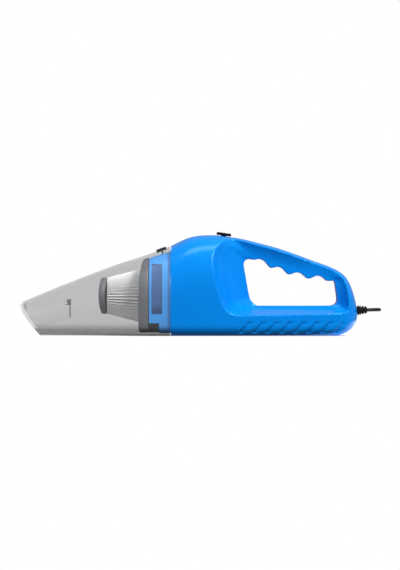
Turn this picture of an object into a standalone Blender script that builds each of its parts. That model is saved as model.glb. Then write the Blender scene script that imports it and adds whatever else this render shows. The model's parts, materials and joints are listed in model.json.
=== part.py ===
"""Hand-held 12 V car vacuum with a see-through nozzle, a cone filter and a loop handle.

Nozzle towards -X, cord towards +X, standing surface at Z = 0. Driving sizes are in millimetres
below; every mesh is made in metres.
"""
import math

import bmesh
import bpy
from mathutils import Matrix, Vector

MM = 0.001
GAP = 0.3                      # clearance between pieces that touch or fit
WALL = 2.4                     # housing shell
SPLIT_GAP = 0.3                # between the two housing shells

# Side outline of the blue body, as heights along X.
BODY_FRONT = -20.7
BODY_REAR = 184.5
BODY_TOP = [(-20.7, 97.8), (-12.5, 101.9), (-1.6, 106.8), (8.4, 109.1), (21.2, 110.0),
            (29.4, 109.9), (45.7, 107.8), (57.7, 105.9), (74.5, 101.8), (95.9, 96.1),
            (117.2, 88.9), (135.1, 82.2), (152.0, 76.2), (162.1, 71.5), (170.0, 65.9),
            (175.6, 58.0), (180.0, 46.8), (183.4, 33.3), (184.5, 25.0)]
BODY_LOW = [(-20.7, 0.0), (160.0, 0.0), (170.0, 2.4), (177.8, 7.5), (183.4, 15.4), (184.5, 21.5)]
HALF_WIDTH = 51.0              # at the widest place
BODY_HALF = [(x, HALF_WIDTH - less) for x, less in
             ((-20.7, 0.6), (10.0, 0.0), (40.0, 0.6), (80.0, 4.0), (120.0, 8.0),
              (150.0, 11.5), (166.0, 15.5), (176.0, 22.5), (182.0, 32.5), (184.5, 44.0))]
BODY_WIDEST = 0.36             # height of the widest line, as a share of the section
CROWN = 2.7                    # 2 is an ellipse, more is squarer
BODY_CORNER = 11.0             # lower edge radius

# The dished side: its rim, and the loop handle's opening with four finger hollows.
DISH_RIM = [(48.6, 105.2), (36.7, 102.3), (28.5, 93.6), (25.4, 81.0), (27.7, 61.7),
            (32.2, 45.3), (36.7, 32.6), (41.3, 27.1), (48.6, 23.0), (57.7, 22.0),
            (115.0, 23.0), (168.0, 24.8), (174.0, 29.0), (174.4, 37.0), (171.9, 54.0),
            (166.0, 65.0), (152.0, 73.6), (117.2, 86.0), (95.9, 93.0), (74.5, 99.0)]
DISH_CENTRE = (108.0, 52.0)
DISH_HALF = 17.0               # half thickness of the handle beside the opening
OPENING = [(59.7, 77.5), (61.2, 81.8), (65.5, 83.7), (71.5, 82.8), (77.0, 83.8), (82.5, 81.3), (87.9, 75.0),
           (91.5, 73.8), (96.9, 75.2), (102.0, 73.4), (106.0, 69.1), (110.0, 66.6), (117.0, 68.8),
           (122.4, 68.0), (128.6, 63.1), (132.0, 62.2), (138.4, 64.8), (141.8, 65.3), (146.5, 63.4),
           (150.2, 60.2), (153.2, 59.5), (158.6, 59.6), (160.0, 56.0), (162.0, 40.5), (161.0, 35.6),
           (157.0, 33.0), (150.0, 32.5), (79.0, 32.5), (72.8, 33.6), (67.6, 38.4), (65.2, 45.6), (61.6, 66.0)]
OPENING_PLAIN = [(61.0, 84.5), (79.0, 84.5), (160.5, 60.5), (162.5, 32.8), (72.0, 32.8), (65.0, 42.0)]
OPENING_LAND = 0.9             # flat rim around the opening

# Slanted pockets pressed in the base sides.
POCKETS = 8
POCKET_FIRST = 52.5
POCKET_PITCH = 14.7
POCKET_LOW, POCKET_HIGH = 3.2, 15.4
POCKET_LENGTH = 7.6
POCKET_LEAN = 11.5             # how far the top sits behind the foot
POCKET_DEPTH = 1.1

# Nozzle: heights along X, mouth slope and wall.
NOZZLE_REAR = -21.1
NOZZLE_LENGTH = 170.9
NOZZLE_FRONT = NOZZLE_REAR - NOZZLE_LENGTH
NOZZLE_TOP = [(NOZZLE_FRONT, 33.0), (NOZZLE_FRONT + 13.6, 38.9), (-126.4, 60.1), (-76.0, 79.0),
              (-51.4, 86.7), (NOZZLE_REAR, 97.8)]
NOZZLE_HALF = [(x, HALF_WIDTH - less) for x, less in
               ((NOZZLE_FRONT, 18.0), (NOZZLE_FRONT + 32.0, 14.0),
                 (-100.0, 7.0), (-50.0, 2.0), (NOZZLE_REAR, 0.6))]
NOZZLE_WALL = 2.2
NOZZLE_CORNER = 10.0
MOUTH = [(NOZZLE_FRONT + x, z)
         for x, z in ((7.4, 32.8), (11.4, 23.0), (17.6, 14.5), (23.2, 7.8), (29.5, -0.6))]
MOUTH_LIP = [(NOZZLE_FRONT + x, z) for x, z in ((14.6, 40.2), (9.8, 37.8))]

# Collar that the nozzle slides over.
COLLAR_FRONT = -43.9
COLLAR_REAR = -10.5
COLLAR_WALL = 2.0
COLLAR_TOP = [(-43.9, 84.7), (-21.1, 92.2)]
COLLAR_LOW = 2.8
COLLAR_HALF = [(-43.9, HALF_WIDTH - 5.4), (-21.1, HALF_WIDTH - 4.0)]
WINDOW = (-41.0, -29.4, 23.4, 78.0)

# Two tongues under the filter's carrier plate, in a notch of the collar.
TONGUE_TOP = 13.4
TONGUE_REAR = -33.0
TONGUE_HALF = (21.5, 36.0)

# Air path, all turned about one axis.
AXIS_Z = 43.5
FILTER_HOLE_R = 28.0
FILTER_CAP_R, FILTER_CAP_X = 20.0, (-99.6, -90.3)
PLEAT_X = (-90.0, -53.0)
PLEAT_FRONT_R, PLEAT_REAR_R = 20.0, 29.6
PLEAT_DEPTH = 3.4
PLEATS = 32
CORE_R = (12.5, 14.0)
FLANGE_X = (-50.0, -44.5)
FLANGE_BOW = 5.0
SHROUD_R, SHROUD_X = 36.0, (-39.0, -13.5)
IMPELLER_R, IMPELLER_X = SHROUD_R - 4.0, (-35.0, -20.0)
IMPELLER_BLADES = 9
BRACKET_X = (-9.5, -7.0)
MOTOR_R, MOTOR_X = 18.0, (-6.4, 43.6)
SHAFT_R = 1.55
BUSH_R = 4.0

# Inlet duct and flap.
DUCT_REAR = NOZZLE_FRONT + 59.0
DUCT_WALL = 1.6
DUCT_HALF = [(NOZZLE_FRONT, HALF_WIDTH - 23.0), (DUCT_REAR, HALF_WIDTH - 26.0)]
DUCT_TOP = [(NOZZLE_FRONT, 25.6), (DUCT_REAR, 34.4)]
DUCT_LOW = [(NOZZLE_FRONT, 2.8), (DUCT_REAR, 15.6)]
FLAP_SWING_PIN = (DUCT_REAR + 1.0, 37.6)
FLAP_PIN_R = 1.0

# Switch on the top, latch on the nozzle's slope.
SWITCH_X = 37.8
SWITCH_LENGTH, SWITCH_WIDTH, SWITCH_PROUD = 16.0, 13.0, 4.6
SWITCH_TRAVEL = 4.5
SWITCH_STEM = (6.0, 4.0)
LATCH_X = -30.7
LATCH_LENGTH, LATCH_WIDTH, LATCH_PROUD = 11.3, 16.0, 1.8
LATCH_DEPTH = 7.2
LATCH_TRAVEL = 2.5

# Screws through both shells, as X and Z of each pillar.
SCREWS = [(0.0, 12.0), (2.0, 94.0), (58.0, 12.0), (112.0, 12.0), (163.0, 13.0), (60.5, 93.5)]
PILLAR_R = 4.0
SCREW_R, SCREW_HEAD_R, SCREW_HEAD = 1.3, 3.0, 2.0
SCREW_SEAT, SCREW_TIP = 10.0, -9.5
VENT_SLOTS = 5

# Cord: straight out of the tail, round behind the body to a tied coil on the floor.
CORD_R = 1.9
RELIEF_Z = 27.3
RELIEF_X = (185.1, 195.8)       # flange on the tail, and the tapered end
RELIEF_RISE = 3.0              # degrees above level
COIL_CENTRE = (22.0, 96.0)
COIL_MEAN_R = 24.0
COIL_ACROSS, COIL_HIGH = 6, 5
CORD_LEAD = [(161.0, 0.0, 26.04), (173.0, 0.0, 26.67), (185.1, 0.0, 27.3), (191.0, 0.0, 27.6),
             (195.8, 0.0, 27.8), (202.9, 1.9, 28.0), (208.1, 7.1, 28.0), (210.0, 14.2, 27.9),
             (208.1, 21.3, 27.8), (202.9, 26.5, 27.7), (195.4, 29.6, 27.6), (186.6, 33.2, 27.0),
             (175.4, 38.0, 25.2), (160.0, 43.8, 20.4), (142.0, 50.2, 12.6), (122.0, 55.2, 6.2),
             (104.0, 57.6, 3.0), (88.0, 58.4, 2.0), (66.0, 58.2, 2.0), (44.0, 58.1, 2.0), (24.0, 58.1, 2.0)]
CORD_TAIL = [(10.4, 80.6, 21.6), (1.0, 88.6, 21.6), (-4.6, 98.0, 21.6), (-5.6, 108.4, 21.6),
             (-1.4, 119.0, 21.6), (6.0, 128.4, 21.6), (17.2, 134.8, 19.6), (29.6, 137.6, 16.0),
             (40.6, 138.6, 13.8), (48.0, 138.4, 13.0), (53.6, 138.0, 13.0)]
PLUG_TAIL_X, PLUG_TIP_X = 66.2, 134.2
PLUG_Y, PLUG_R = 138.0, 13.0
TIP_TRAVEL = 3.0

FACETS = 24                    # round pieces
SMALL_FACETS = 12
SECTION_CORNER_STEPS = 4
SECTION_CROWN_STEPS = 12


# ---------------------------------------------------------------- basic tools

def start_clean():
    for thing in list(bpy.data.objects):
        bpy.data.objects.remove(thing, do_unlink=True)


def finish(name, colour, roughness, metallic=0.0):
    """A plain finish for one piece."""
    made = bpy.data.materials.new(name)
    made.use_nodes = True
    surface = made.node_tree.nodes["Principled BSDF"]
    surface.inputs["Base Color"].default_value = (*colour, 1.0)
    surface.inputs["Roughness"].default_value = roughness
    surface.inputs["Metallic"].default_value = metallic
    made.diffuse_color = (*colour, 1.0)
    return made


BLUE_PLASTIC = ((0.003, 0.22, 0.82), 0.22, 0.0)
SMOKY_PLASTIC = ((0.45, 0.45, 0.46), 0.12, 0.0)
BLACK_PLASTIC = ((0.012, 0.012, 0.013), 0.4, 0.0)
GREY_PLASTIC = ((0.16, 0.16, 0.16), 0.45, 0.0)
WHITE_PLASTIC = ((0.8, 0.8, 0.78), 0.5, 0.0)
FILTER_CLOTH = ((0.85, 0.85, 0.84), 0.9, 0.0)
BLACK_RUBBER = ((0.01, 0.01, 0.01), 0.75, 0.0)
PLATED_STEEL = ((0.62, 0.63, 0.65), 0.3, 1.0)
BRONZE = ((0.6, 0.4, 0.2), 0.4, 1.0)
BRASS = ((0.8, 0.6, 0.25), 0.3, 1.0)
COPPER = ((0.75, 0.36, 0.2), 0.35, 1.0)
CORD_PVC = ((0.012, 0.012, 0.012), 0.5, 0.0)
RED_PVC = ((0.6, 0.02, 0.015), 0.5, 0.0)
AMBER_CERAMIC = ((0.55, 0.2, 0.04), 0.35, 0.0)
GLASS_TUBE = ((0.8, 0.82, 0.82), 0.05, 0.0)


def add_object(name, bm, look=None, smooth=40.0):
    """One object from a bmesh whose coordinates are millimetres. Without a look it is a tool."""
    bmesh.ops.remove_doubles(bm, verts=bm.verts, dist=1e-5)
    bmesh.ops.recalc_face_normals(bm, faces=bm.faces)
    bmesh.ops.scale(bm, vec=(MM, MM, MM), verts=bm.verts)
    mesh = bpy.data.meshes.new(name)
    bm.to_mesh(mesh)
    bm.free()
    mesh.shade_smooth()
    mesh.set_sharp_from_angle(angle=math.radians(smooth))
    made = bpy.data.objects.new(name, mesh)
    bpy.context.scene.collection.objects.link(made)
    if look:
        mesh.materials.append(finish(name, *look))
    else:
        made.hide_render = True
        made.display_type = "WIRE"
    return made


def loft(rings, closed=False):
    """A bmesh skin over rings of equal length, capped at both ends unless the rings close on themselves."""
    bm = bmesh.new()
    loops = [[bm.verts.new(point) for point in ring] for ring in rings]
    pairs = list(zip(loops, loops[1:] + loops[:1])) if closed else list(zip(loops, loops[1:]))
    for first, second in pairs:
        count = len(first)
        for k in range(count):
            after = (k + 1) % count
            bm.faces.new((first[k], first[after], second[after], second[k]))
    if not closed:
        bm.faces.new(list(reversed(loops[0])))
        bm.faces.new(loops[-1])
    return bm


def combine(target, tool, operation="DIFFERENCE"):
    modifier = target.modifiers.new(operation.lower(), "BOOLEAN")
    modifier.operation = operation
    modifier.solver = "EXACT"
    modifier.object = tool
    tool.hide_render = True
    tool.display_type = "WIRE"
    return target


def turned(name, profile, look=None, origin=(0, 0, 0), along=(1, 0, 0), facets=FACETS, ring=False,
           smooth=40.0):
    """A turned piece. The profile lists (distance along the axis, radius); ring closes it round a bore."""
    turn = Vector(along).to_track_quat("Z", "Y").to_matrix().to_4x4()
    frame = Matrix.Translation(origin) @ turn
    rings = []
    for distance, radius in profile:
        angles = [2 * math.pi * k / facets for k in range(facets)]
        rings.append([frame @ Vector((radius * math.cos(a), radius * math.sin(a), distance)) for a in angles])
    return add_object(name, loft(rings, closed=ring), look, smooth)


def block(name, low, high, look=None, frame=None):
    """A box between two corners, in a local frame when one is given."""
    bm = bmesh.new()
    bmesh.ops.create_cube(bm, size=1.0)
    size = [b - a for a, b in zip(low, high)]
    middle = [(a + b) / 2 for a, b in zip(low, high)]
    bmesh.ops.scale(bm, vec=size, verts=bm.verts)
    bmesh.ops.translate(bm, vec=middle, verts=bm.verts)
    if frame is not None:
        bmesh.ops.transform(bm, matrix=frame, verts=bm.verts)
    return add_object(name, bm, look)


def prism(name, outline, low_y, high_y, look=None):
    """An outline in X and Z, drawn out along Y."""
    rings = [[(x, y, z) for x, z in outline] for y in (low_y, high_y)]
    return add_object(name, loft(rings), look)


def carry(pieces, name, place):
    """Hang moving pieces on an empty that sits on their joint's axis."""
    holder = bpy.data.objects.new(name, None)
    bpy.context.scene.collection.objects.link(holder)
    holder.location = Vector(place) * MM
    for piece in pieces:
        piece.parent = holder
        piece.matrix_parent_inverse = Matrix.Translation(-holder.location)
    return holder


def value_at(points, x):
    """Smooth height through (x, value) points, level at each peak or flat stretch and past the ends."""
    if x <= points[0][0]:
        return points[0][1]
    if x >= points[-1][0]:
        return points[-1][1]
    last = len(points) - 1
    spot = max(k for k in range(last) if points[k][0] <= x)

    def slope(k):
        before, after = max(k - 1, 0), min(k + 1, last)
        turns = (points[k][1] - points[before][1]) * (points[after][1] - points[k][1]) <= 0
        if turns and 0 < k < last:
            return 0.0
        return (points[after][1] - points[before][1]) / (points[after][0] - points[before][0])

    (x0, v0), (x1, v1) = points[spot], points[spot + 1]
    run = x1 - x0
    t = (x - x0) / run
    ease = t * t * (3 - 2 * t)
    bend = slope(spot) * run * t * (1 - t) ** 2 - slope(spot + 1) * run * t * t * (1 - t)
    return v0 + (v1 - v0) * ease + bend


def section(x, half, low, top, corner, crown, widest, inset=0.0):
    """One cross-section: flat foot, rounded lower corners, upright sides and a domed crown."""
    half, low, top = half - inset, low + inset, top - inset
    middle = low + (top - low) * widest
    corner = max(min(corner - inset, half * 0.8, (middle - low) * 0.95), 0.4)
    right = []
    for k in range(SECTION_CORNER_STEPS + 1):
        angle = math.pi / 2 * (k / SECTION_CORNER_STEPS - 1)
        right.append((x, half - corner + corner * math.cos(angle), low + corner + corner * math.sin(angle)))
    crown_points = []
    for k in range(SECTION_CROWN_STEPS + 1):
        angle = math.pi * k / SECTION_CROWN_STEPS
        across = math.copysign(abs(math.cos(angle)) ** (2 / crown), math.cos(angle))
        crown_points.append((x, half * across, middle + (top - middle) * math.sin(angle) ** (2 / crown)))
    left = [(x, -y, z) for _, y, z in reversed(right)]
    return right + crown_points + left


def steps(start, end, count):
    return [start + (end - start) * k / count for k in range(count + 1)]


# ---------------------------------------------------------------- the housing's form

def body_section(x, inset):
    return section(x, value_at(BODY_HALF, x), value_at(BODY_LOW, x), value_at(BODY_TOP, x),
                   BODY_CORNER, CROWN, BODY_WIDEST, inset)


def body_half_at(x, z):
    """Half width of the undished body at one point of its side."""
    half, low, top = value_at(BODY_HALF, x), value_at(BODY_LOW, x), value_at(BODY_TOP, x)
    middle = low + (top - low) * BODY_WIDEST
    if z <= middle:
        return half
    share = min((z - middle) / (top - middle), 1.0)
    return half * (1 - share ** CROWN) ** (1 / CROWN)


def body_form(name, inset, front, rear):
    """The body before its dishes and opening, drawn in by inset; the tail's sections crowd together."""
    tail = 40.0
    places = steps(BODY_FRONT, rear - tail, 17)[:-1]
    places += [rear - tail * (1 - math.sin(math.pi / 2 * k / 10)) for k in range(11)]
    if front < BODY_FRONT:
        places.insert(0, front)
    return add_object(name, loft([body_section(x, inset) for x in places]))


def ray_hit(outline, angle):
    """Where a ray from the dish's centre first leaves a closed outline."""
    cx, cz = DISH_CENTRE
    dx, dz = math.cos(angle), math.sin(angle)
    best = None
    for (x0, z0), (x1, z1) in zip(outline, outline[1:] + outline[:1]):
        ex, ez = x1 - x0, z1 - z0
        across = dx * ez - dz * ex
        if abs(across) < 1e-9:
            continue
        far = ((x0 - cx) * ez - (z0 - cz) * ex) / across
        along = ((x0 - cx) * dz - (z0 - cz) * dx) / across
        if far > 0 and -1e-9 <= along <= 1 + 1e-9 and (best is None or far > best):
            best = far
    return best


def dish_tool(name, side, grow):
    """The hollow pressed in one side, from its rim down to the land round the opening."""
    count = 36
    angles = [2 * math.pi * k / count for k in range(count)]
    rims, mids, floors, mouths = [], [], [], []
    for angle in angles:
        ux, uz = math.cos(angle), math.sin(angle)
        rim = ray_hit(DISH_RIM, angle) + grow
        land = ray_hit(OPENING_PLAIN, angle) + OPENING_LAND + grow
        land = min(land, rim - 1.0)
        x, z = DISH_CENTRE[0] + rim * ux, DISH_CENTRE[1] + rim * uz
        edge = max(body_half_at(x, z), DISH_HALF + 0.5) - grow
        floor = DISH_HALF - grow
        bowed = (land + (rim - land) * 0.55, floor + (edge - floor) * 0.38)
        for ring, (reach, y) in zip((floors, mids, rims, mouths),
                                    ((land, floor), bowed, (rim, edge), (rim, 75.0))):
            ring.append((DISH_CENTRE[0] + reach * ux, side * y, DISH_CENTRE[1] + reach * uz))
    return add_object(name, loft([floors, mids, rims, mouths]))


def opening_tool(name, outline, grow):
    """The handle's opening right through, widened by grow."""
    cx, cz = DISH_CENTRE
    points = []
    for x, z in outline:
        reach = math.hypot(x - cx, z - cz)
        share = (reach + grow) / reach
        points.append((cx + (x - cx) * share, cz + (z - cz) * share))
    return prism(name, points, -80.0, 80.0)


def smooth_outline(points, parts):
    """A closed Catmull-Rom outline through the points."""
    made = []
    count = len(points)
    for k in range(count):
        p0, p1, p2, p3 = (Vector(points[(k + j - 1) % count]) for j in range(4))
        for step in range(parts):
            t = step / parts
            made.append(tuple(0.5 * (2 * p1 + (p2 - p0) * t + (2 * p0 - 5 * p1 + 4 * p2 - p3) * t * t
                                     + (3 * p1 - p0 - 3 * p2 + p3) * t ** 3)))
    return made


def pocket_tool(name):
    """Slanted pockets along both sides of the base."""
    bm = bmesh.new()
    for side in (-1, 1):
        for k in range(POCKETS):
            x = POCKET_FIRST + k * POCKET_PITCH
            wall = value_at(BODY_HALF, x + POCKET_LENGTH / 2)
            outline = ((x, POCKET_LOW), (x + POCKET_LENGTH, POCKET_LOW),
                       (x + POCKET_LENGTH + POCKET_LEAN, POCKET_HIGH), (x + POCKET_LEAN, POCKET_HIGH))
            corners = [[bm.verts.new((px, side * y, pz)) for px, pz in outline]
                       for y in (wall - POCKET_DEPTH, wall + 6.0)]
            for a in range(4):
                b = (a + 1) % 4
                bm.faces.new((corners[0][a], corners[0][b], corners[1][b], corners[1][a]))
            bm.faces.new(list(reversed(corners[0])))
            bm.faces.new(corners[1])
    return add_object(name, bm)


def top_frame(x, points):
    """A frame on a top outline at y = 0: local X along the slope, local Z out of the surface."""
    z = value_at(points, x)
    slope = math.atan2(value_at(points, x + 2) - value_at(points, x - 2), 4.0)
    return Matrix.Translation((x, 0, z)) @ Matrix.Rotation(-slope, 4, "Y")


def make_housings():
    outer = body_form("housing_outer_form", 0.0, BODY_FRONT, BODY_REAR)
    cavity = body_form("housing_cavity_form", WALL, BODY_FRONT - 2.0, BODY_REAR - WALL)
    for side, word in ((-1, "left"), (1, "right")):
        combine(outer, dish_tool(word + "_dish_form", side, 0.0))
        combine(cavity, dish_tool(word + "_dish_lining", side, WALL))
    combine(outer, opening_tool("opening_form", smooth_outline(OPENING, 2), 0.0))
    combine(cavity, opening_tool("opening_lining", OPENING_PLAIN, WALL + 0.8))
    for number, (x, z) in enumerate(SCREWS, 1):
        pillar = turned(f"pillar_form_{number}", [(-80, PILLAR_R), (80, PILLAR_R)],
                        origin=(x, 0, z), along=(0, 1, 0), facets=SMALL_FACETS)
        combine(cavity, pillar)
    combine(outer, cavity)
    combine(outer, pocket_tool("base_pockets_form"))
    bore = SCREW_R + GAP
    for number, (x, z) in enumerate(SCREWS, 1):
        seat = SCREW_SEAT
        drill = turned(f"screw_bore_form_{number}",
                       [(SCREW_TIP - GAP, bore), (seat, bore), (seat, SCREW_HEAD_R + GAP),
                         (80, SCREW_HEAD_R + GAP)],
                       origin=(x, 0, z), along=(0, 1, 0), facets=SMALL_FACETS)
        combine(outer, drill)
    cut_housing_details(outer)
    shells = []
    for side, word in ((-1, "left"), (1, "right")):
        near, far = SPLIT_GAP / 2, 90.0
        low_y, high_y = sorted((side * near, side * far))
        shell = block(word + "_housing", (BODY_FRONT - 5, low_y, -5), (BODY_REAR + 5, high_y, 120),
                      BLUE_PLASTIC)
        shells.append(combine(shell, outer, "INTERSECT"))
    return shells


def cut_housing_details(outer):
    """Switch slot, exhaust slots in the underside, and the strain relief's seat in the tail."""
    frame = top_frame(SWITCH_X, BODY_TOP)
    length, width = SWITCH_STEM
    slot = block("switch_slot_form", (-length / 2 - SWITCH_TRAVEL - GAP * 2, -width / 2 - GAP, -8),
                 (length / 2 + GAP * 2, width / 2 + GAP, 8), frame=frame)
    combine(outer, slot)
    for number in range(VENT_SLOTS):
        for side in (-1, 1):
            x = 18.0 + 7.0 * number
            low_y, high_y = sorted((side * 5.0, side * 27.0))
            slot = block(f"vent_form_{number}_{side + 1}", (x, low_y, -4), (x + 2.8, high_y, WALL + 2))
            combine(outer, slot)
    seat = turned("relief_bore_form", [(170, 4.3), (BODY_REAR + 6, 4.3)], origin=(0, 0, RELIEF_Z),
                  facets=SMALL_FACETS)
    combine(outer, seat)


def make_housing_screws():
    for number, (x, z) in enumerate(SCREWS, 1):
        head = SCREW_SEAT + GAP
        turned(f"housing_screw_{number}",
               [(SCREW_TIP, SCREW_R * 0.5), (SCREW_TIP + 2, SCREW_R), (head, SCREW_R), (head, SCREW_HEAD_R),
                (head + SCREW_HEAD * 0.6, SCREW_HEAD_R), (head + SCREW_HEAD, SCREW_HEAD_R * 0.6)],
               PLATED_STEEL, origin=(x, 0, z), along=(0, 1, 0), facets=12)


# ---------------------------------------------------------------- collar and nozzle

def collar_section(x, inset):
    return section(x, value_at(COLLAR_HALF, x), COLLAR_LOW, value_at(COLLAR_TOP, x),
                   NOZZLE_CORNER - 2, CROWN, BODY_WIDEST, inset)


def make_collar():
    """Spigot for the nozzle in front, and a skirt that sits inside the housing's front edge."""
    step = BODY_FRONT + GAP
    skirt = WALL + GAP
    rings = [collar_section(COLLAR_FRONT, 0), collar_section(NOZZLE_REAR + 0.1, 0),
             body_section(step, skirt), body_section(COLLAR_REAR, skirt)]
    collar = add_object("front_collar", loft(rings), BLUE_PLASTIC)
    inner = [collar_section(COLLAR_FRONT + COLLAR_WALL, COLLAR_WALL),
             collar_section(NOZZLE_REAR, COLLAR_WALL),
             body_section(step + COLLAR_WALL, skirt + COLLAR_WALL),
             body_section(COLLAR_REAR + 3, skirt + COLLAR_WALL)]
    combine(collar, add_object("collar_cavity_form", loft(inner)))
    hole = turned("collar_hole_form", [(-60, FILTER_HOLE_R), (-30, FILTER_HOLE_R)], origin=(0, 0, AXIS_Z))
    combine(collar, hole)
    frame = top_frame(LATCH_X, NOZZLE_TOP)
    half_length, half_width = LATCH_LENGTH / 2 + GAP, LATCH_WIDTH / 2 + GAP
    combine(collar, block("collar_latch_form", (-half_length, -half_width, -11), (half_length, half_width, 5),
                          frame=frame))
    front, rear, low, high = WINDOW
    combine(collar, block("collar_window_form", (front, -70, low), (rear, 70, high)))
    combine(collar, block("collar_notch_form", (-60, -70, -5), (TONGUE_REAR + GAP, 70, TONGUE_TOP + GAP)))
    return collar


def nozzle_section(x, inset):
    return section(x, value_at(NOZZLE_HALF, x), 0.0, value_at(NOZZLE_TOP, x),
                   NOZZLE_CORNER, CROWN, BODY_WIDEST, inset)


def mouth_tool(name, shift):
    """Everything in front of the slanted, slightly rounded mouth."""
    curve = [(x + shift, z) for x, z in MOUTH_LIP + MOUTH]
    ahead = NOZZLE_FRONT - 23
    outline = [(ahead, 70)] + curve + [(MOUTH[-1][0] + shift, -20), (ahead, -20)]
    outline.insert(1, (MOUTH_LIP[0][0] + shift, 70))
    return prism(name, outline, -90.0, 90.0)


def duct_section(x, inset):
    half = value_at(DUCT_HALF, x) - inset
    low = value_at(DUCT_LOW, x) + inset
    top = value_at(DUCT_TOP, x) - inset
    corner = max(5.0 - inset, 0.6)
    points = []
    for cy, cz, start in ((half - corner, low + corner, -90), (half - corner, top - corner, 0),
                          (-half + corner, top - corner, 90), (-half + corner, low + corner, 180)):
        for k in range(4):
            angle = math.radians(start + 30 * k)
            points.append((x, cy + corner * math.cos(angle), cz + corner * math.sin(angle)))
    return points


def make_nozzle():
    places = steps(NOZZLE_FRONT, NOZZLE_REAR, 12)
    nozzle = add_object("nozzle", loft([nozzle_section(x, 0) for x in places]), SMOKY_PLASTIC)
    combine(nozzle, mouth_tool("mouth_form", 0.0))
    places = steps(NOZZLE_FRONT + 4, NOZZLE_REAR + 3, 12)
    cavity = add_object("nozzle_cavity_form", loft([nozzle_section(x, NOZZLE_WALL) for x in places]))
    combine(cavity, mouth_tool("mouth_wall_form", 3.0))
    combine(nozzle, cavity)
    hole = add_object("duct_hole_form",
                      loft([duct_section(x, -GAP) for x in (NOZZLE_FRONT, NOZZLE_FRONT + 42)]))
    combine(nozzle, hole)
    frame = top_frame(LATCH_X, NOZZLE_TOP)
    half_length, half_width = LATCH_LENGTH / 2 + 2 * GAP, LATCH_WIDTH / 2 + 2 * GAP
    notch = block("nozzle_notch_form", (-half_length, -half_width, -6), (40, half_width, 12), frame=frame)
    combine(nozzle, notch)
    return nozzle


def make_duct():
    outside = [duct_section(x, 0) for x in (NOZZLE_FRONT, NOZZLE_FRONT + 32, DUCT_REAR)]
    inside = [duct_section(x, DUCT_WALL) for x in (NOZZLE_FRONT - 3, DUCT_REAR + 5)]
    duct = add_object("inlet_duct", loft(outside), SMOKY_PLASTIC)
    combine(duct, add_object("duct_bore_form", loft(inside)))
    combine(duct, mouth_tool("duct_mouth_form", 0.4))
    pin_x, pin_z = FLAP_SWING_PIN
    for side in (-1, 1):
        low_y, high_y = sorted((side * 20.5, side * 23.0))
        lug = block(f"duct_lug_form_{side + 1}", (DUCT_REAR - 7, low_y, 32.6),
                    (pin_x + 2.6, high_y, pin_z + 2.4))
        combine(duct, lug, "UNION")
    bore = turned("pin_bore_form", [(-30, FLAP_PIN_R + GAP), (30, FLAP_PIN_R + GAP)],
                  origin=(pin_x, 0, pin_z), along=(0, 1, 0), facets=12)
    combine(duct, bore)
    pin = turned("flap_pin", [(-24.0, FLAP_PIN_R), (24.0, FLAP_PIN_R)], PLATED_STEEL,
                 origin=(pin_x, 0, pin_z), along=(0, 1, 0), facets=12)
    return [duct, pin]


def make_flap():
    """Rubber-edged flap that hangs from its pin behind the duct's rear end."""
    pin_x, pin_z = FLAP_SWING_PIN
    knuckle = FLAP_PIN_R + 1.2
    flap = turned("inlet_flap", [(-19.8, knuckle), (19.8, knuckle)], BLACK_RUBBER,
                  origin=(pin_x, 0, pin_z), along=(0, 1, 0), facets=12)
    leaf = block("flap_leaf_form", (pin_x - 0.6, -19.8, 17.6), (pin_x + 0.8, 19.8, pin_z - 0.2))
    combine(flap, leaf, "UNION")
    bore = turned("flap_bore_form", [(-30, FLAP_PIN_R + GAP), (30, FLAP_PIN_R + GAP)],
                  origin=(pin_x, 0, pin_z), along=(0, 1, 0), facets=12)
    combine(flap, bore)
    return flap


# ---------------------------------------------------------------- filter

def star_ring(x, outer, depth):
    points = []
    for k in range(2 * PLEATS):
        radius = outer if k % 2 == 0 else outer - depth
        angle = math.pi * k / PLEATS
        points.append((x, radius * math.cos(angle), AXIS_Z + radius * math.sin(angle)))
    return points


def make_filter():
    cap_front, cap_rear = FILTER_CAP_X
    middle = (0, 0, AXIS_Z)
    cap = turned("filter_cap",
                 [(cap_front, 9.0), (cap_front + 1.2, 15.0), (cap_front + 3.6, FILTER_CAP_R),
                  (cap_rear, FILTER_CAP_R)], GREY_PLASTIC, origin=middle)
    pleat_front, pleat_rear = PLEAT_X
    rings = [star_ring(pleat_front, PLEAT_FRONT_R, PLEAT_DEPTH),
             star_ring(pleat_rear, PLEAT_REAR_R, PLEAT_DEPTH)]
    lining = PLEAT_DEPTH + 1.2
    rings += [star_ring(pleat_rear, PLEAT_REAR_R - lining, 0.0),
              star_ring(pleat_front, PLEAT_FRONT_R - lining, 0.0)]
    pleats = add_object("filter_pleats", loft(rings, closed=True), FILTER_CLOTH, smooth=10)
    inner, outer = CORE_R
    core_front, core_rear = pleat_front + GAP, pleat_rear - GAP
    core = turned("filter_core",
                  [(core_front, outer), (core_rear, outer), (core_rear, inner), (core_front, inner)],
                  WHITE_PLASTIC, origin=middle, ring=True, facets=SMALL_FACETS)
    for number in range(4):
        angle = math.pi / 4 * number
        turn = Matrix.Translation(middle) @ Matrix.Rotation(angle, 4, "X")
        combine(core, block(f"core_window_form_{number}", (core_front + 4, -30, -3), (core_rear - 4, 30, 3),
                            frame=turn))
    return [cap, pleats, core] + make_flange()


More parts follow.
